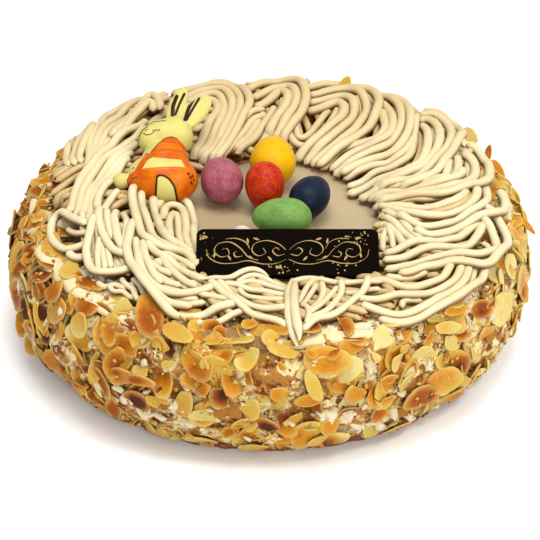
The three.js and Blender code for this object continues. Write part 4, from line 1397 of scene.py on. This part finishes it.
def pipe(heap, tree, plan, radius, over=False, heaped=0.0):
    """Lays strands of one bundle and returns their paths in space, cut where a guest leaves no room. Heaped
    is how much higher their start lies, and over lets a strand lie on the guests."""
    laid = []
    for path in plan:
        support = heap.support(path, radius)
        core = core_level(*path.T)
        level = core + (support - core) * STRAND_REST
        bedded = np.maximum(smoothed(level, COURSE_SMOOTHING[0]), level - STRAND_SINKING)
        z = smoothed(bedded + radius * STRAND_SEAT, COURSE_SMOOTHING[1])
        z = z + heaped * np.clip(1 - np.arange(len(z)) * PATH_STEP / HEAPED_LENGTH, 0, 1) ** 0.7
        if not over:
            roof = ceilings(tree, path)
            room = np.minimum(np.minimum(roof, np.roll(roof, 2)), np.roll(roof, -2))
            z = np.minimum(z, room - radius - STRAND_GAP)
        keep = z > FLOOR + 0.35 * radius
        points = np.c_[path, z]
        start = 0
        for i in range(len(keep) + 1):
            if i == len(keep) or not keep[i]:
                if i - start > FEWEST_STEPS:
                    laid.append(points[start:i])
                start = i + 1
    for points in laid:
        heap.lay(points, radius)
    return laid


def on_heap(pixels, lift):
    """Plan places of pixels of the photograph that show the top of the nest: where each sight line first
    meets the heap, or passes closest over its crest."""
    u, v = np.array(pixels, float).T[:, :, None]
    nearest, farthest = -96, 88
    y = np.arange(nearest, farthest, DEPTH_STEP)[None, :]
    x, z = sight_line(u, v, y)
    past_crest = np.maximum(np.hypot(x, y) - FAR_CREST_RADIUS, 0) * (y > FAR_SIDE)
    gap = z - (FLOOR + lift + core_rise(x, y)) + 10 * past_crest
    met = gap <= 0
    where = np.where(met.any(axis=1), met.argmax(axis=1), gap.argmin(axis=1))
    rows = np.arange(len(where))
    return np.c_[x[rows, where], y[0, where]]


def curled(path, radius):
    """Strand whose end at the middle of the cake bends down and tucks under itself."""
    near_middle = NEST_INNER_RADIUS + 16
    lowest = FLOOR + 2.2 * radius
    reach = 1.1
    starts_near = math.dist(path[0, :2], NEST_CENTRE) <= near_middle
    ends_near = math.dist(path[-1, :2], NEST_CENTRE) <= near_middle
    for last, near in ((True, ends_near), (False, starts_near)):
        end, before = (path[-1], path[-4]) if last else (path[0], path[3])
        if not near or end[2] < lowest:
            continue
        ahead = (end - before) * (1, 1, 0)
        ahead /= max(np.linalg.norm(ahead), 1e-6)
        drop = (end[2] - FLOOR - radius - 0.1) / 2
        turns = np.linspace(0, math.pi, 8)[1:]
        curl = end + ahead * (np.sin(turns) * radius * reach)[:, None]
        curl[:, 2] = end[2] - drop * (1 - np.cos(turns))
        path = np.vstack([path, curl]) if last else np.vstack([curl[::-1], path])
    return path


def under_plan(number, count, draw):
    """Plan path of one strand of the lower layer, slanting over the ring."""
    knots, sway = 5, 0.06
    angle = 2 * math.pi * (number + draw.uniform(-0.3, 0.3)) / count
    slant = 0.5 + 0.35 * math.sin(3 * angle + 1)
    inner = NEST_INNER_RADIUS + draw.uniform(3, 8)
    outer = float(nest_reach(angle + slant * 0.5)) - draw.uniform(0, 5) + 5 * max(math.sin(angle), 0)
    points = []
    for share in np.linspace(0, 1, knots):
        radius = between(inner, outer, share)
        turn = angle + slant * (share - 0.5) + sway * math.sin(5 * share + number)
        points.append((NEST_CENTRE[0] * (1 - share) + radius * math.cos(turn), radius * math.sin(turn)))
    return withdrawn(spline(points), UNDER_RADIUS + 0.1)


def bundle_plan(strands, radius, first, last, number, draw):
    """Plan paths of the strands of one bundle, evenly between its first and last, a little uneven."""
    plans = []
    for j in range(strands):
        share = j / max(strands - 1, 1)
        pixels = between(np.array(first, float), np.array(last or first, float), share)
        path = spline(on_heap(pixels, radius + 0.8))
        # The nozzle's strands don't all start and end together
        most = min(5, len(path) // 6) if strands > 2 else 0
        path = path[int(draw.uniform(0, most)):len(path) - int(draw.uniform(0, most))]
        s = np.arange(len(path)) * PATH_STEP
        sway = waves(s, seed=number * 31 + j, longest=40, shortest=12, terms=5) * STRAND_SWAY
        tangent = units(np.gradient(path, axis=0))
        path = path + np.c_[tangent[:, 1], -tangent[:, 0]] * sway[:, None]
        plans.append(withdrawn(path, radius))
    return plans


def nest():
    """Pipes the nest: a lower layer of small strands, then the bundles in their order."""
    draw = random.Random(7)
    heap = Heap()
    guests = ["rabbit", "plaque", "cream_dab"] + [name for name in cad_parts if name.startswith("egg_")]
    tree = guest_tree(guests)
    # Strand cream with painted shade on the undersides, and a darker beige painted towards the back as
    # painted shade
    cream = cream_paint("strand_cream", srgb(248, 233, 190), srgb(230, 208, 156), shade=srgb(138, 88, 38),
                        back=srgb(218, 190, 134))
    under, back, front = Batch(), Batch(), Batch()
    for start in (0, 1):
        plans = [under_plan(number, UNDER_STRANDS, draw) for number in range(start, UNDER_STRANDS, 2)]
        for path in pipe(heap, tree, plans, UNDER_RADIUS):
            course = even(path, UNDER_RADIUS)
            under.add(*tube(course, np.full(len(course), UNDER_RADIUS), 8))
    for number, (strands, radius, first, last, *heaped) in enumerate([*BUNDLES, LAST_STRAND]):
        over = number == len(BUNDLES)
        if over:
            heap.cover_plaque()
        plans = bundle_plan(strands, radius, first, last, number, draw)
        for path in pipe(heap, tree, plans, radius, over, sum(heaped)):
            course = even(curled(path, radius), STRAND_STEP)
            s = np.arange(len(course)) * STRAND_STEP
            thickness = radius * (1 + 0.04 * waves(s, seed=number, longest=30, shortest=5))
            batch = back if path[:, 1].mean() > 0 else front
            batch.add(*tube(course, thickness, blunt=number < len(BUNDLES) + 1 - POINTED))
    # The lower strands are the same cream painted darker and browner, as painted shade in the gaps between
    # the top strands, with painted shade on their undersides too
    shade = cream_paint("under_cream_shaded", srgb(234, 204, 144), srgb(212, 178, 118), shade=srgb(132, 82, 34))
    under.build("strands_under", shade, slot="praline_strands")
    back.build("strands_back", cream, replaces=("nest",), slot="praline_strands")
    front.build("strands_front", cream, slot="praline_strands")


def nest_core():
    """Cream painted dark brown deep under the strands, as painted shade in the gaps between them."""
    rows, around = 14, 120
    inner_margin, outer_margin = 4, 6
    edge_level, bottom_level = FLOOR - 0.3, FLOOR - 0.4
    angles = circle(around)
    rings = []
    for i in range(rows + 1):
        share = i / rows
        radius = between(NEST_INNER_RADIUS + inner_margin, nest_reach(angles) - outer_margin, share)
        x = NEST_CENTRE[0] * (1 - share) + radius * np.cos(angles)
        y = radius * np.sin(angles)
        rise = np.maximum(core_rise(x, y) - CORE_DROP - 1.0, 0)
        inside = 0 < i < rows
        rings.append(np.c_[x, y, edge_level + (rise * 0.95 + 0.4) * inside])
    bottom = [np.c_[ring[:, :2], np.full(around, bottom_level)] for ring in (rings[-1], rings[0])]
    points = np.concatenate([*rings, *bottom])
    # The rings run outwards, so the faces are turned round
    faces = [[a, d, c, b] for a, b, c, d in ring_faces(rows + 3, around, "joined")]
    # Dark brown cream that stands in as painted shade seen through the gaps
    shade = cream_paint("core_shade_cream", srgb(180, 130, 70), srgb(144, 96, 46), 0.6)
    build("nest_core", points, faces, shade, slot="praline_strands")


# Toppings

PLAQUE_TILT = math.radians(26.5)
PLAQUE_THICKNESS = 2.4
PLAQUE_CORNER = 2.6
PLAQUE_EDGE = 0.35
# How far the gold print stands on the plaque
PRINT_RISE = 0.05
# Half of the print, mirrored to the other half: scrolls, and leaves with the angle that they point in
PRINT_SCROLLS = [
    [(0.6, 1.0), (3.4, 3.6), (7.6, 4.9), (11.8, 3.6), (12.8, 0.6), (10.6, -1.5), (8.0, -0.4), (8.8, 1.7)],
    [(10.4, -3.4), (14.0, -2.2), (17.0, 1.6), (20.8, 4.2), (25.2, 3.4), (26.4, 0.2), (24.0, -2.0),
     (21.2, -1.0), (21.8, 1.4), (23.6, 1.2)],
    [(0.4, -3.0), (4.4, -4.8), (9.4, -4.9), (14.4, -3.6), (19.2, -4.6), (24.4, -4.6), (28.4, -2.2),
     (29.4, 1.2)],
    [(13.6, 1.4), (15.2, 4.2), (18.6, 5.8), (22.4, 5.6)],
    [(1.0, -0.8), (3.6, -1.4), (5.4, 0.4), (4.2, 1.9), (2.9, 1.0)],
    [(16.2, -1.6), (18.6, -2.0), (19.4, -0.4), (18.2, 0.4)],
]
PRINT_LEAVES = [(5.6, -3.6, 50), (12.4, -2.9, 35), (20.4, -3.4, 60), (26.6, -2.4, 100), (14.2, 3.6, 80),
                (10.2, 5.2, 20)]
# Clusters of specks: place, how many, spread; and places of larger spots
PRINT_SPECKS = [((-29.8, 5.9), 16, 2.2), ((-28.8, -1.6), 6, 1.6), ((25, 5.6), 26, 3.6), ((-4, -6.6), 18, 3.6),
                ((20, -5.6), 12, 3.2)]
PRINT_SPOTS = [(-30.2, 6.2), (25.4, 5.9), (-3.2, -6.4)]
# Sugar shells: main, pale and deep colour, strength of the clouds and of the specks, roughness
EGG_LOOKS = {
    "egg_pink": (srgb(180, 98, 110), srgb(220, 156, 166), srgb(150, 66, 80), 0.8, 0.55, 0.36),
    "egg_yellow": (srgb(246, 186, 0), srgb(252, 212, 60), srgb(236, 166, 0), 0.4, 0.12, 0.36),
    "egg_red": (srgb(206, 50, 8), srgb(242, 136, 84), srgb(164, 24, 4), 0.8, 0.55, 0.36),
    "egg_blue": (srgb(14, 34, 56), srgb(70, 96, 124), srgb(6, 16, 32), 0.8, 0.22, 0.4),
    "egg_green": (srgb(126, 166, 84), srgb(172, 202, 136), srgb(96, 142, 62), 0.8, 0.35, 0.38),
}


def node_points(name):
    """Corners of a CAD node in millimetres."""
    return np.array([vertex.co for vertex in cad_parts[name].data.vertices]) / MM


def node_frame(name):
    """Middle, and long, middle and short axes with half sizes of a CAD node, from its vertices."""
    points = node_points(name)
    middle = points.mean(axis=0)
    _, _, axes = np.linalg.svd(points - middle)
    spread = (points - middle) @ axes.T
    low, high = spread.min(axis=0), spread.max(axis=0)
    middle = middle + ((low + high) / 2) @ axes
    return middle, axes, (high - low) / 2


def sugar_egg(name, material, slot):
    """Smooth egg in the place and of the size of its CAD solid."""
    middle, axes, half = node_frame(name)
    points = node_points(name) - middle
    along = points @ axes[0]
    wide = np.hypot(points @ axes[1], points @ axes[2])
    blunt = 1 if along[wide.argmax()] > 0 else -1
    rows, around = 40, 56
    fuller, within = 0.14, 0.995
    turn = circle(around)
    rings = []
    for i in range(1, rows):
        angle = math.pi * i / rows
        x = math.cos(angle)
        r = math.sin(angle) * (1 + fuller * x)
        lump = 1 + 0.006 * np.sin(3 * turn + 5 * x) + 0.004 * np.sin(5 * turn - 7 * x)
        rings.append(np.c_[np.full(around, x * half[0] * blunt), r * half[1] * lump * np.cos(turn),
                           r * half[2] * lump * np.sin(turn)] * within)
    points = on_axes(np.concatenate(rings), middle, *axes)
    build(slot, points, ring_faces(rows - 1, around), material, replaces=(name,), slot=slot)


def sugar_eggs():
    """The five eggs, each with its own paint."""
    for name, look in EGG_LOOKS.items():
        slot = name.replace("egg_", "sugar_")
        sugar_egg(name, egg_paint(slot, *look), slot)


def plaque_frame():
    """Middle of the plaque, its directions to the right, up its slope and out of it, and its size."""
    low, high = box_mm("plaque")
    right = np.array([1.0, 0, 0])
    up = np.array([0, math.cos(PLAQUE_TILT), math.sin(PLAQUE_TILT)])
    depth = (high[1] - low[1] - PLAQUE_THICKNESS * up[2]) / up[1]
    return (low + high) / 2, right, up, np.cross(right, up), high[0] - low[0], depth


def plaque():
    """Chocolate plaque with rounded corners and edges."""
    middle, right, up, out, width, depth = plaque_frame()
    steps, inner = 8, 3.0
    face, edge = PLAQUE_THICKNESS / 2, PLAQUE_EDGE
    outline = []
    for cx, cy, start in ((1, 1, 0), (-1, 1, 90), (-1, -1, 180), (1, -1, 270)):
        for step in range(steps + 1):
            angle = math.radians(start + 90 * step / steps)
            outline.append(((width / 2 - PLAQUE_CORNER) * cx + PLAQUE_CORNER * math.cos(angle),
                            (depth / 2 - PLAQUE_CORNER) * cy + PLAQUE_CORNER * math.sin(angle)))
    around = len(outline)
    rings = []
    for inset, z in ((inner, -face), (edge, -face), (0, edge - face), (0, face - edge),
                     (edge * 0.3, face - edge * 0.3), (edge, face), (inner, face)):
        shrink = 1 - 2 * inset / np.array([width, depth])
        rings.append(np.c_[np.array(outline) * shrink, np.full(around, z)])
    points = on_axes(np.concatenate(rings), middle, right, up, out)
    faces = ring_faces(len(rings), around)
    build("plaque_slab", points, faces, chocolate_paint(),
          replaces=("plaque",), slot="chocolate", smooth=False)


def stroke(path, widths):
    """Flat ribbon along a plan path."""
    tangent = units(np.gradient(path, axis=0))
    side = np.c_[-tangent[:, 1], tangent[:, 0]] * widths[:, None] / 2
    points = np.empty((2 * len(path), 2))
    points[0::2] = path + side
    points[1::2] = path - side
    faces = [[2 * i + 1, 2 * i + 3, 2 * i + 2, 2 * i] for i in range(len(path) - 1)]
    return points, faces


def gold_print():
    """Mirrored scrolls with leaves, and specks, printed on the plaque."""
    middle, right, up, out, width, depth = plaque_frame()
    surface = middle + out * (PLAQUE_THICKNESS / 2 + PRINT_RISE)
    draw = random.Random(12)
    batch = Batch()

    def put(points, faces):
        batch.add(on_axes(points, surface, right, up), faces)

    def pen(path):
        """Line of a broad pen held at a slant, thin at both ends."""
        hair, broad, slant = 0.16, 0.36, math.radians(40)
        step = np.gradient(path, axis=0)
        slope = np.arctan2(step[:, 1], step[:, 0])
        swell = np.sin(np.linspace(0.15, math.pi - 0.15, len(path))) ** 0.5
        put(*stroke(path, (hair + broad * abs(np.sin(slope - slant)) ** 1.5) * swell))

    def leaf(start, turn, mirror):
        """Pointed leaf."""
        length, steps = 2.4, 12
        aim = np.array([mirror * math.cos(turn), math.sin(turn)])
        path = np.array([mirror * start[0], start[1]]) + np.linspace(0, length, steps)[:, None] * aim
        put(*stroke(path, 0.1 + 0.7 * np.sin(np.linspace(0, math.pi, steps))))

    def spot(centre, size, around, ragged):
        """Ragged spot of a size."""
        turn = circle(around)
        rough = draws(draw, *ragged, around)[:, None]
        put(centre + np.c_[np.cos(turn), np.sin(turn)] * size * rough, [list(range(around))])

    for mirror in (1, -1):
        for points in PRINT_SCROLLS:
            pen(spline([(mirror * x, y) for x, y in points], 0.25))
        for x, y, turn in PRINT_LEAVES:
            leaf((x, y), math.radians(turn), mirror)
    limit = np.array([width / 2 - 1.5, depth / 2 - 1.2])
    for centre, count, spread in PRINT_SPECKS:
        for _ in range(count):
            place = np.array([draw.gauss(centre[0], spread), draw.gauss(centre[1], spread * 0.4)])
            spot(np.clip(place, -limit, limit), draw.uniform(0.12, 0.42), 8, (0.6, 1.2))
    for centre in PRINT_SPOTS:
        spot(np.array(centre), (1.2, 0.8), 12, (0.5, 1.25))
    batch.build("gold_scrolls", gold_paint(), slot="chocolate")


def dab():
    """Soft dab of cream under the plaque's back edge."""
    low, high = box_mm("cream_dab")
    middle = (low + high) / 2
    half = (high - low) / 2
    rows, around = 14, 32
    sunk = 0.4
    turn = circle(around)
    rings = []
    for i in range(1, rows):
        angle = math.pi / 2 * i / (rows - 1)
        lump = 1 + 0.05 * np.sin(3 * turn + 2) + 0.04 * np.sin(5 * turn + 4 * angle)
        reach = math.sin(angle) * lump * 0.97
        level = low[2] - sunk + 2 * half[2] * math.cos(angle) * 0.98
        x = middle[0] + half[0] * reach * np.cos(turn)
        y = middle[1] + half[1] * reach * np.sin(turn)
        rings.append(np.c_[x, y, np.full(around, level)])
    cream = cream_paint("white_cream", srgb(236, 222, 194), srgb(220, 200, 164), 0.4)
    build("dab_cream", np.concatenate(rings), ring_faces(len(rings), around), cream,
          replaces=("cream_dab",), slot="white_cream")


# Rabbit

RABBIT_TILT = math.radians(19)
RABBIT_LEAN = math.radians(-9)
RABBIT_AT = np.array([-40.8, 9, 60.6])
# Bodies that are fused: middle, half sizes and lean in degrees. In turn they are belly, chest, head, cheek,
# muzzle, two ears and paw.
RABBIT_PARTS = [
    ((1.0, -4, -0.3), (13.6, 10.5, 8.6), 0),
    ((0.6, 3, 0), (9.4, 9.5, 8.3), 0),
    ((1.2, 16.2, 1), (7.9, 7.9, 7.6), 0),
    ((-2.0, 15.2, 1.6), (8.0, 6.8, 6.8), 0),
    ((-6.4, 12.8, 2.4), (5.4, 5.4, 5.2), 0),
    ((0.1, 31.5, 1.5), (3.5, 10.2, 2.0), -7),
    ((8.0, 29.8, 1.5), (4.4, 10.0, 2.0), -19),
    ((-13.9, -8.2, 0.5), (3.4, 3.3, 3.0), 20),
]


# Painting of the rabbit, in pixels of the photograph
RABBIT_SCARF = [(145, 157), (155.6, 146.3), (160, 140), (165, 137.6), (171.3, 136.7), (177.5, 138.8),
                (181.5, 142.5), (186, 149), (190, 161)]
RABBIT_HIPS = [(130.5, 174.4), (136, 171.2), (146, 168.8), (160, 167.4), (176, 167), (189, 167.8),
               (197, 171), (200.4, 177), (199.6, 187), (194, 198), (184, 208), (150, 206), (134, 198),
               (128.6, 188), (127.8, 180)]
RABBIT_ARCH = [(157.6, 176), (161, 174.6), (167, 175.8), (172, 179.4), (177, 187), (180, 206), (155, 206)]
RABBIT_APRON = [(159.4, 178), (161.6, 176.6), (166, 177.6), (170.4, 180.8), (175, 188), (178, 206),
                (157.4, 206)]
# Lines: places and width
RABBIT_STRAPS = [([(148, 156), (143.5, 163), (139, 171)], 6), ([(184, 156), (188.5, 164), (192, 171)], 8)]
RABBIT_FOLDS = [
    ([(158, 149), (170, 147.5), (181, 150)], 0.8), ([(155, 153), (170, 152), (184, 155)], 0.8),
    ([(193, 164), (197, 172)], 1.0), ([(144, 171), (160, 169.4), (182, 169)], 0.8),
    ([(171, 172), (178, 178), (182, 188)], 1.0),
]
RABBIT_STROKES = [
    # Ears
    ([(171, 113.4), (171.3, 104), (174.6, 94)], 4.2), ([(173.8, 113), (177.5, 102.5), (182.3, 91.3)], 2.8),
    ([(184, 118.4), (187.3, 106), (191.3, 97.5)], 4.0), ([(185.6, 118.4), (191.3, 107.5), (197.6, 96)], 2.7),
    # Face
    ([(148.8, 123.8), (153, 121.3), (165, 120)], 0.9), ([(147.5, 125.6), (141.9, 130), (138.8, 136.3)], 1.1),
    ([(138.8, 136.3), (137.8, 142.5), (139.4, 150)], 0.9),
    ([(143.1, 133.1), (146.3, 135), (151.3, 133.8), (155, 130), (159.4, 130)], 1.0),
    ([(144.4, 131), (147.5, 128.8)], 0.8), ([(152.5, 129.4), (153.8, 131.9)], 0.8),
    # Collar, dots and folds of the outfit
    ([(151.3, 152.5), (160, 142.5), (165, 138.1), (171.3, 136.6), (177, 138.4)], 0.8),
    ([(188.6, 173.4), (189.6, 175)], 1.7), ([(191, 177), (191.8, 178.4)], 1.9),
    ([(193.2, 175.6), (193.4, 177.2)], 1.4), ([(194.2, 179.6), (194.4, 181)], 1.2),
    ([(192, 182.4), (192.6, 184.4)], 1.7), ([(134, 178.6), (135, 178.4)], 1.4),
    ([(137, 177.8), (137.8, 178.2)], 1.3), ([(147.5, 159.4), (152.5, 157.5)], 0.9),
    ([(133.4, 168.8), (134.6, 168)], 1.0), ([(130, 188), (128.4, 180), (131, 175)], 0.6),
]


def rabbit_axes():
    """Directions to the rabbit's left, its ears and its front, as rows."""
    turn = Matrix.Rotation(RABBIT_TILT, 3, "X") @ Matrix.Rotation(RABBIT_LEAN, 3, "Z")
    return np.array(turn).T


def rabbit():
    """Moulded sugar rabbit, fused from a few rounded bodies."""
    axes = rabbit_axes()
    batch = Batch()
    rows, around = 24, 36
    turn = circle(around)
    for centre, half, lean in RABBIT_PARTS:
        sine, cosine = math.sin(math.radians(lean)), math.cos(math.radians(lean))
        rings = []
        for i in range(1, rows):
            polar = math.pi * i / rows
            round_pole = np.c_[np.cos(turn) * half[0], np.zeros(around), -np.sin(turn) * half[2]]
            rings.append(round_pole * math.sin(polar) + (0, math.cos(polar) * half[1], 0))
        local = on_axes(np.concatenate(rings), centre, (cosine, sine, 0), (-sine, cosine, 0), (0, 0, 1))
        batch.add(on_axes(local, RABBIT_AT, *axes), ring_faces(rows - 1, around))
    piece = batch.build("rabbit_figure", rabbit_paint(), replaces=("rabbit",), slot="moulded_sugar")
    remesh = piece.modifiers.new("fuse", "REMESH")
    remesh.mode = "VOXEL"
    remesh.voxel_size = 0.55 * MM
    remesh.use_smooth_shade = True
    soften = piece.modifiers.new("soften", "SMOOTH")
    soften.factor = 0.5
    soften.iterations = 8
    settle(piece)


def settle(piece):
    """Applies a piece's modifiers to its mesh."""
    depsgraph = bpy.context.evaluated_depsgraph_get()
    mesh = bpy.data.meshes.new_from_object(piece.evaluated_get(depsgraph))
    piece.modifiers.clear()
    piece.data = mesh


def rabbit_paint():
    """Pale yellow sugar with a painted orange outfit and brown lines. The painting runs along the direction
    in which the photograph looks, and its places u and v are pixels of the photograph."""
    paint = Paint("moulded_sugar")
    where = paint.place()
    chest = np.array([0, 6, 5])
    middle = on_axes(chest, RABBIT_AT, *rabbit_axes())
    scale = FOCAL_PIXELS / (CAMERA_DISTANCE + RISE_COSINE * middle[1] - RISE_SINE * (middle[2] - TARGET[2]))
    u = paint.along(where, (scale, 0, 0), -TARGET_PIXEL[0])
    down = np.array([0, -scale * RISE_SINE, -scale * RISE_COSINE])
    v = paint.along(where, tuple(down), float(down @ TARGET) - TARGET_PIXEL[1])
    soft = paint.noise(where, 5, 3)
    fine = paint.noise(where, 0.7, 3)

    def line(points, width):
        """1 on a line of a width through places."""
        drawn = None
        for (ax, ay), (bx, by) in zip(points, points[1:]):
            dx, dy = bx - ax, by - ay
            share = (((u - ax) * dx + (v - ay) * dy) / (dx * dx + dy * dy)).largest(0).smallest(1)
            distance = ((u - ax - share * dx) ** 2 + (v - ay - share * dy) ** 2).root()
            mark = distance.step(width / 2 + 0.5, width / 2 - 0.5)
            drawn = drawn.largest(mark) if drawn else mark
        return drawn

    def lines(drawing):
        """1 on any of several lines."""
        drawn = line(*drawing[0])
        for points, width in drawing[1:]:
            drawn = drawn.largest(line(points, width))
        return drawn

    def patch(points):
        """1 inside a convex outline."""
        cx, cy = np.mean(points, axis=0)
        inside = None
        for (ax, ay), (bx, by) in zip(points, points[1:] + points[:1]):
            length = math.hypot(bx - ax, by - ay)
            nx, ny = (ay - by) / length, (bx - ax) / length
            flip = 1 if (cx - ax) * nx + (cy - ay) * ny > 0 else -1
            side = ((u - ax) * (nx * flip) + (v - ay) * (ny * flip)).step(-0.5, 0.5)
            inside = inside * side if inside else side
        return inside

    pale = paint.mix(soft, srgb(236, 222, 130), srgb(214, 200, 112))
    orange = paint.mix(soft.step(0.3, 0.7), srgb(234, 122, 4), srgb(210, 86, 2))
    fold_highlight = paint.mix(fine, srgb(242, 160, 40), srgb(234, 134, 16))
    dark = srgb(52, 20, 10)
    cloth = patch(RABBIT_SCARF).largest(lines(RABBIT_STRAPS)).largest(patch(RABBIT_HIPS))
    colour = paint.mix(cloth, pale, orange)
    # Painted highlight: the folds of the outfit are a lighter orange along their ridges
    colour = paint.mix(lines(RABBIT_FOLDS) * 0.6, colour, fold_highlight)
    colour = paint.mix(patch(RABBIT_ARCH), colour, dark)
    colour = paint.mix(patch(RABBIT_APRON), colour, pale)
    colour = paint.mix(lines(RABBIT_STROKES), colour, dark)
    return paint.finish(colour, fine * 0.1 + 0.34, fine + soft, strength=0.15, depth=0.3, specular=0.12)


photo_camera()
studio()
cake_wall()
sponge_foot()
smooth_top()
wall_flakes()
rim_flakes(random.Random(8))
wall_crumbs()
cream_smears()
cream_lumps()
rim_cream()
nest_core()
nest()
sugar_eggs()
plaque()
gold_print()
dab()
rabbit()
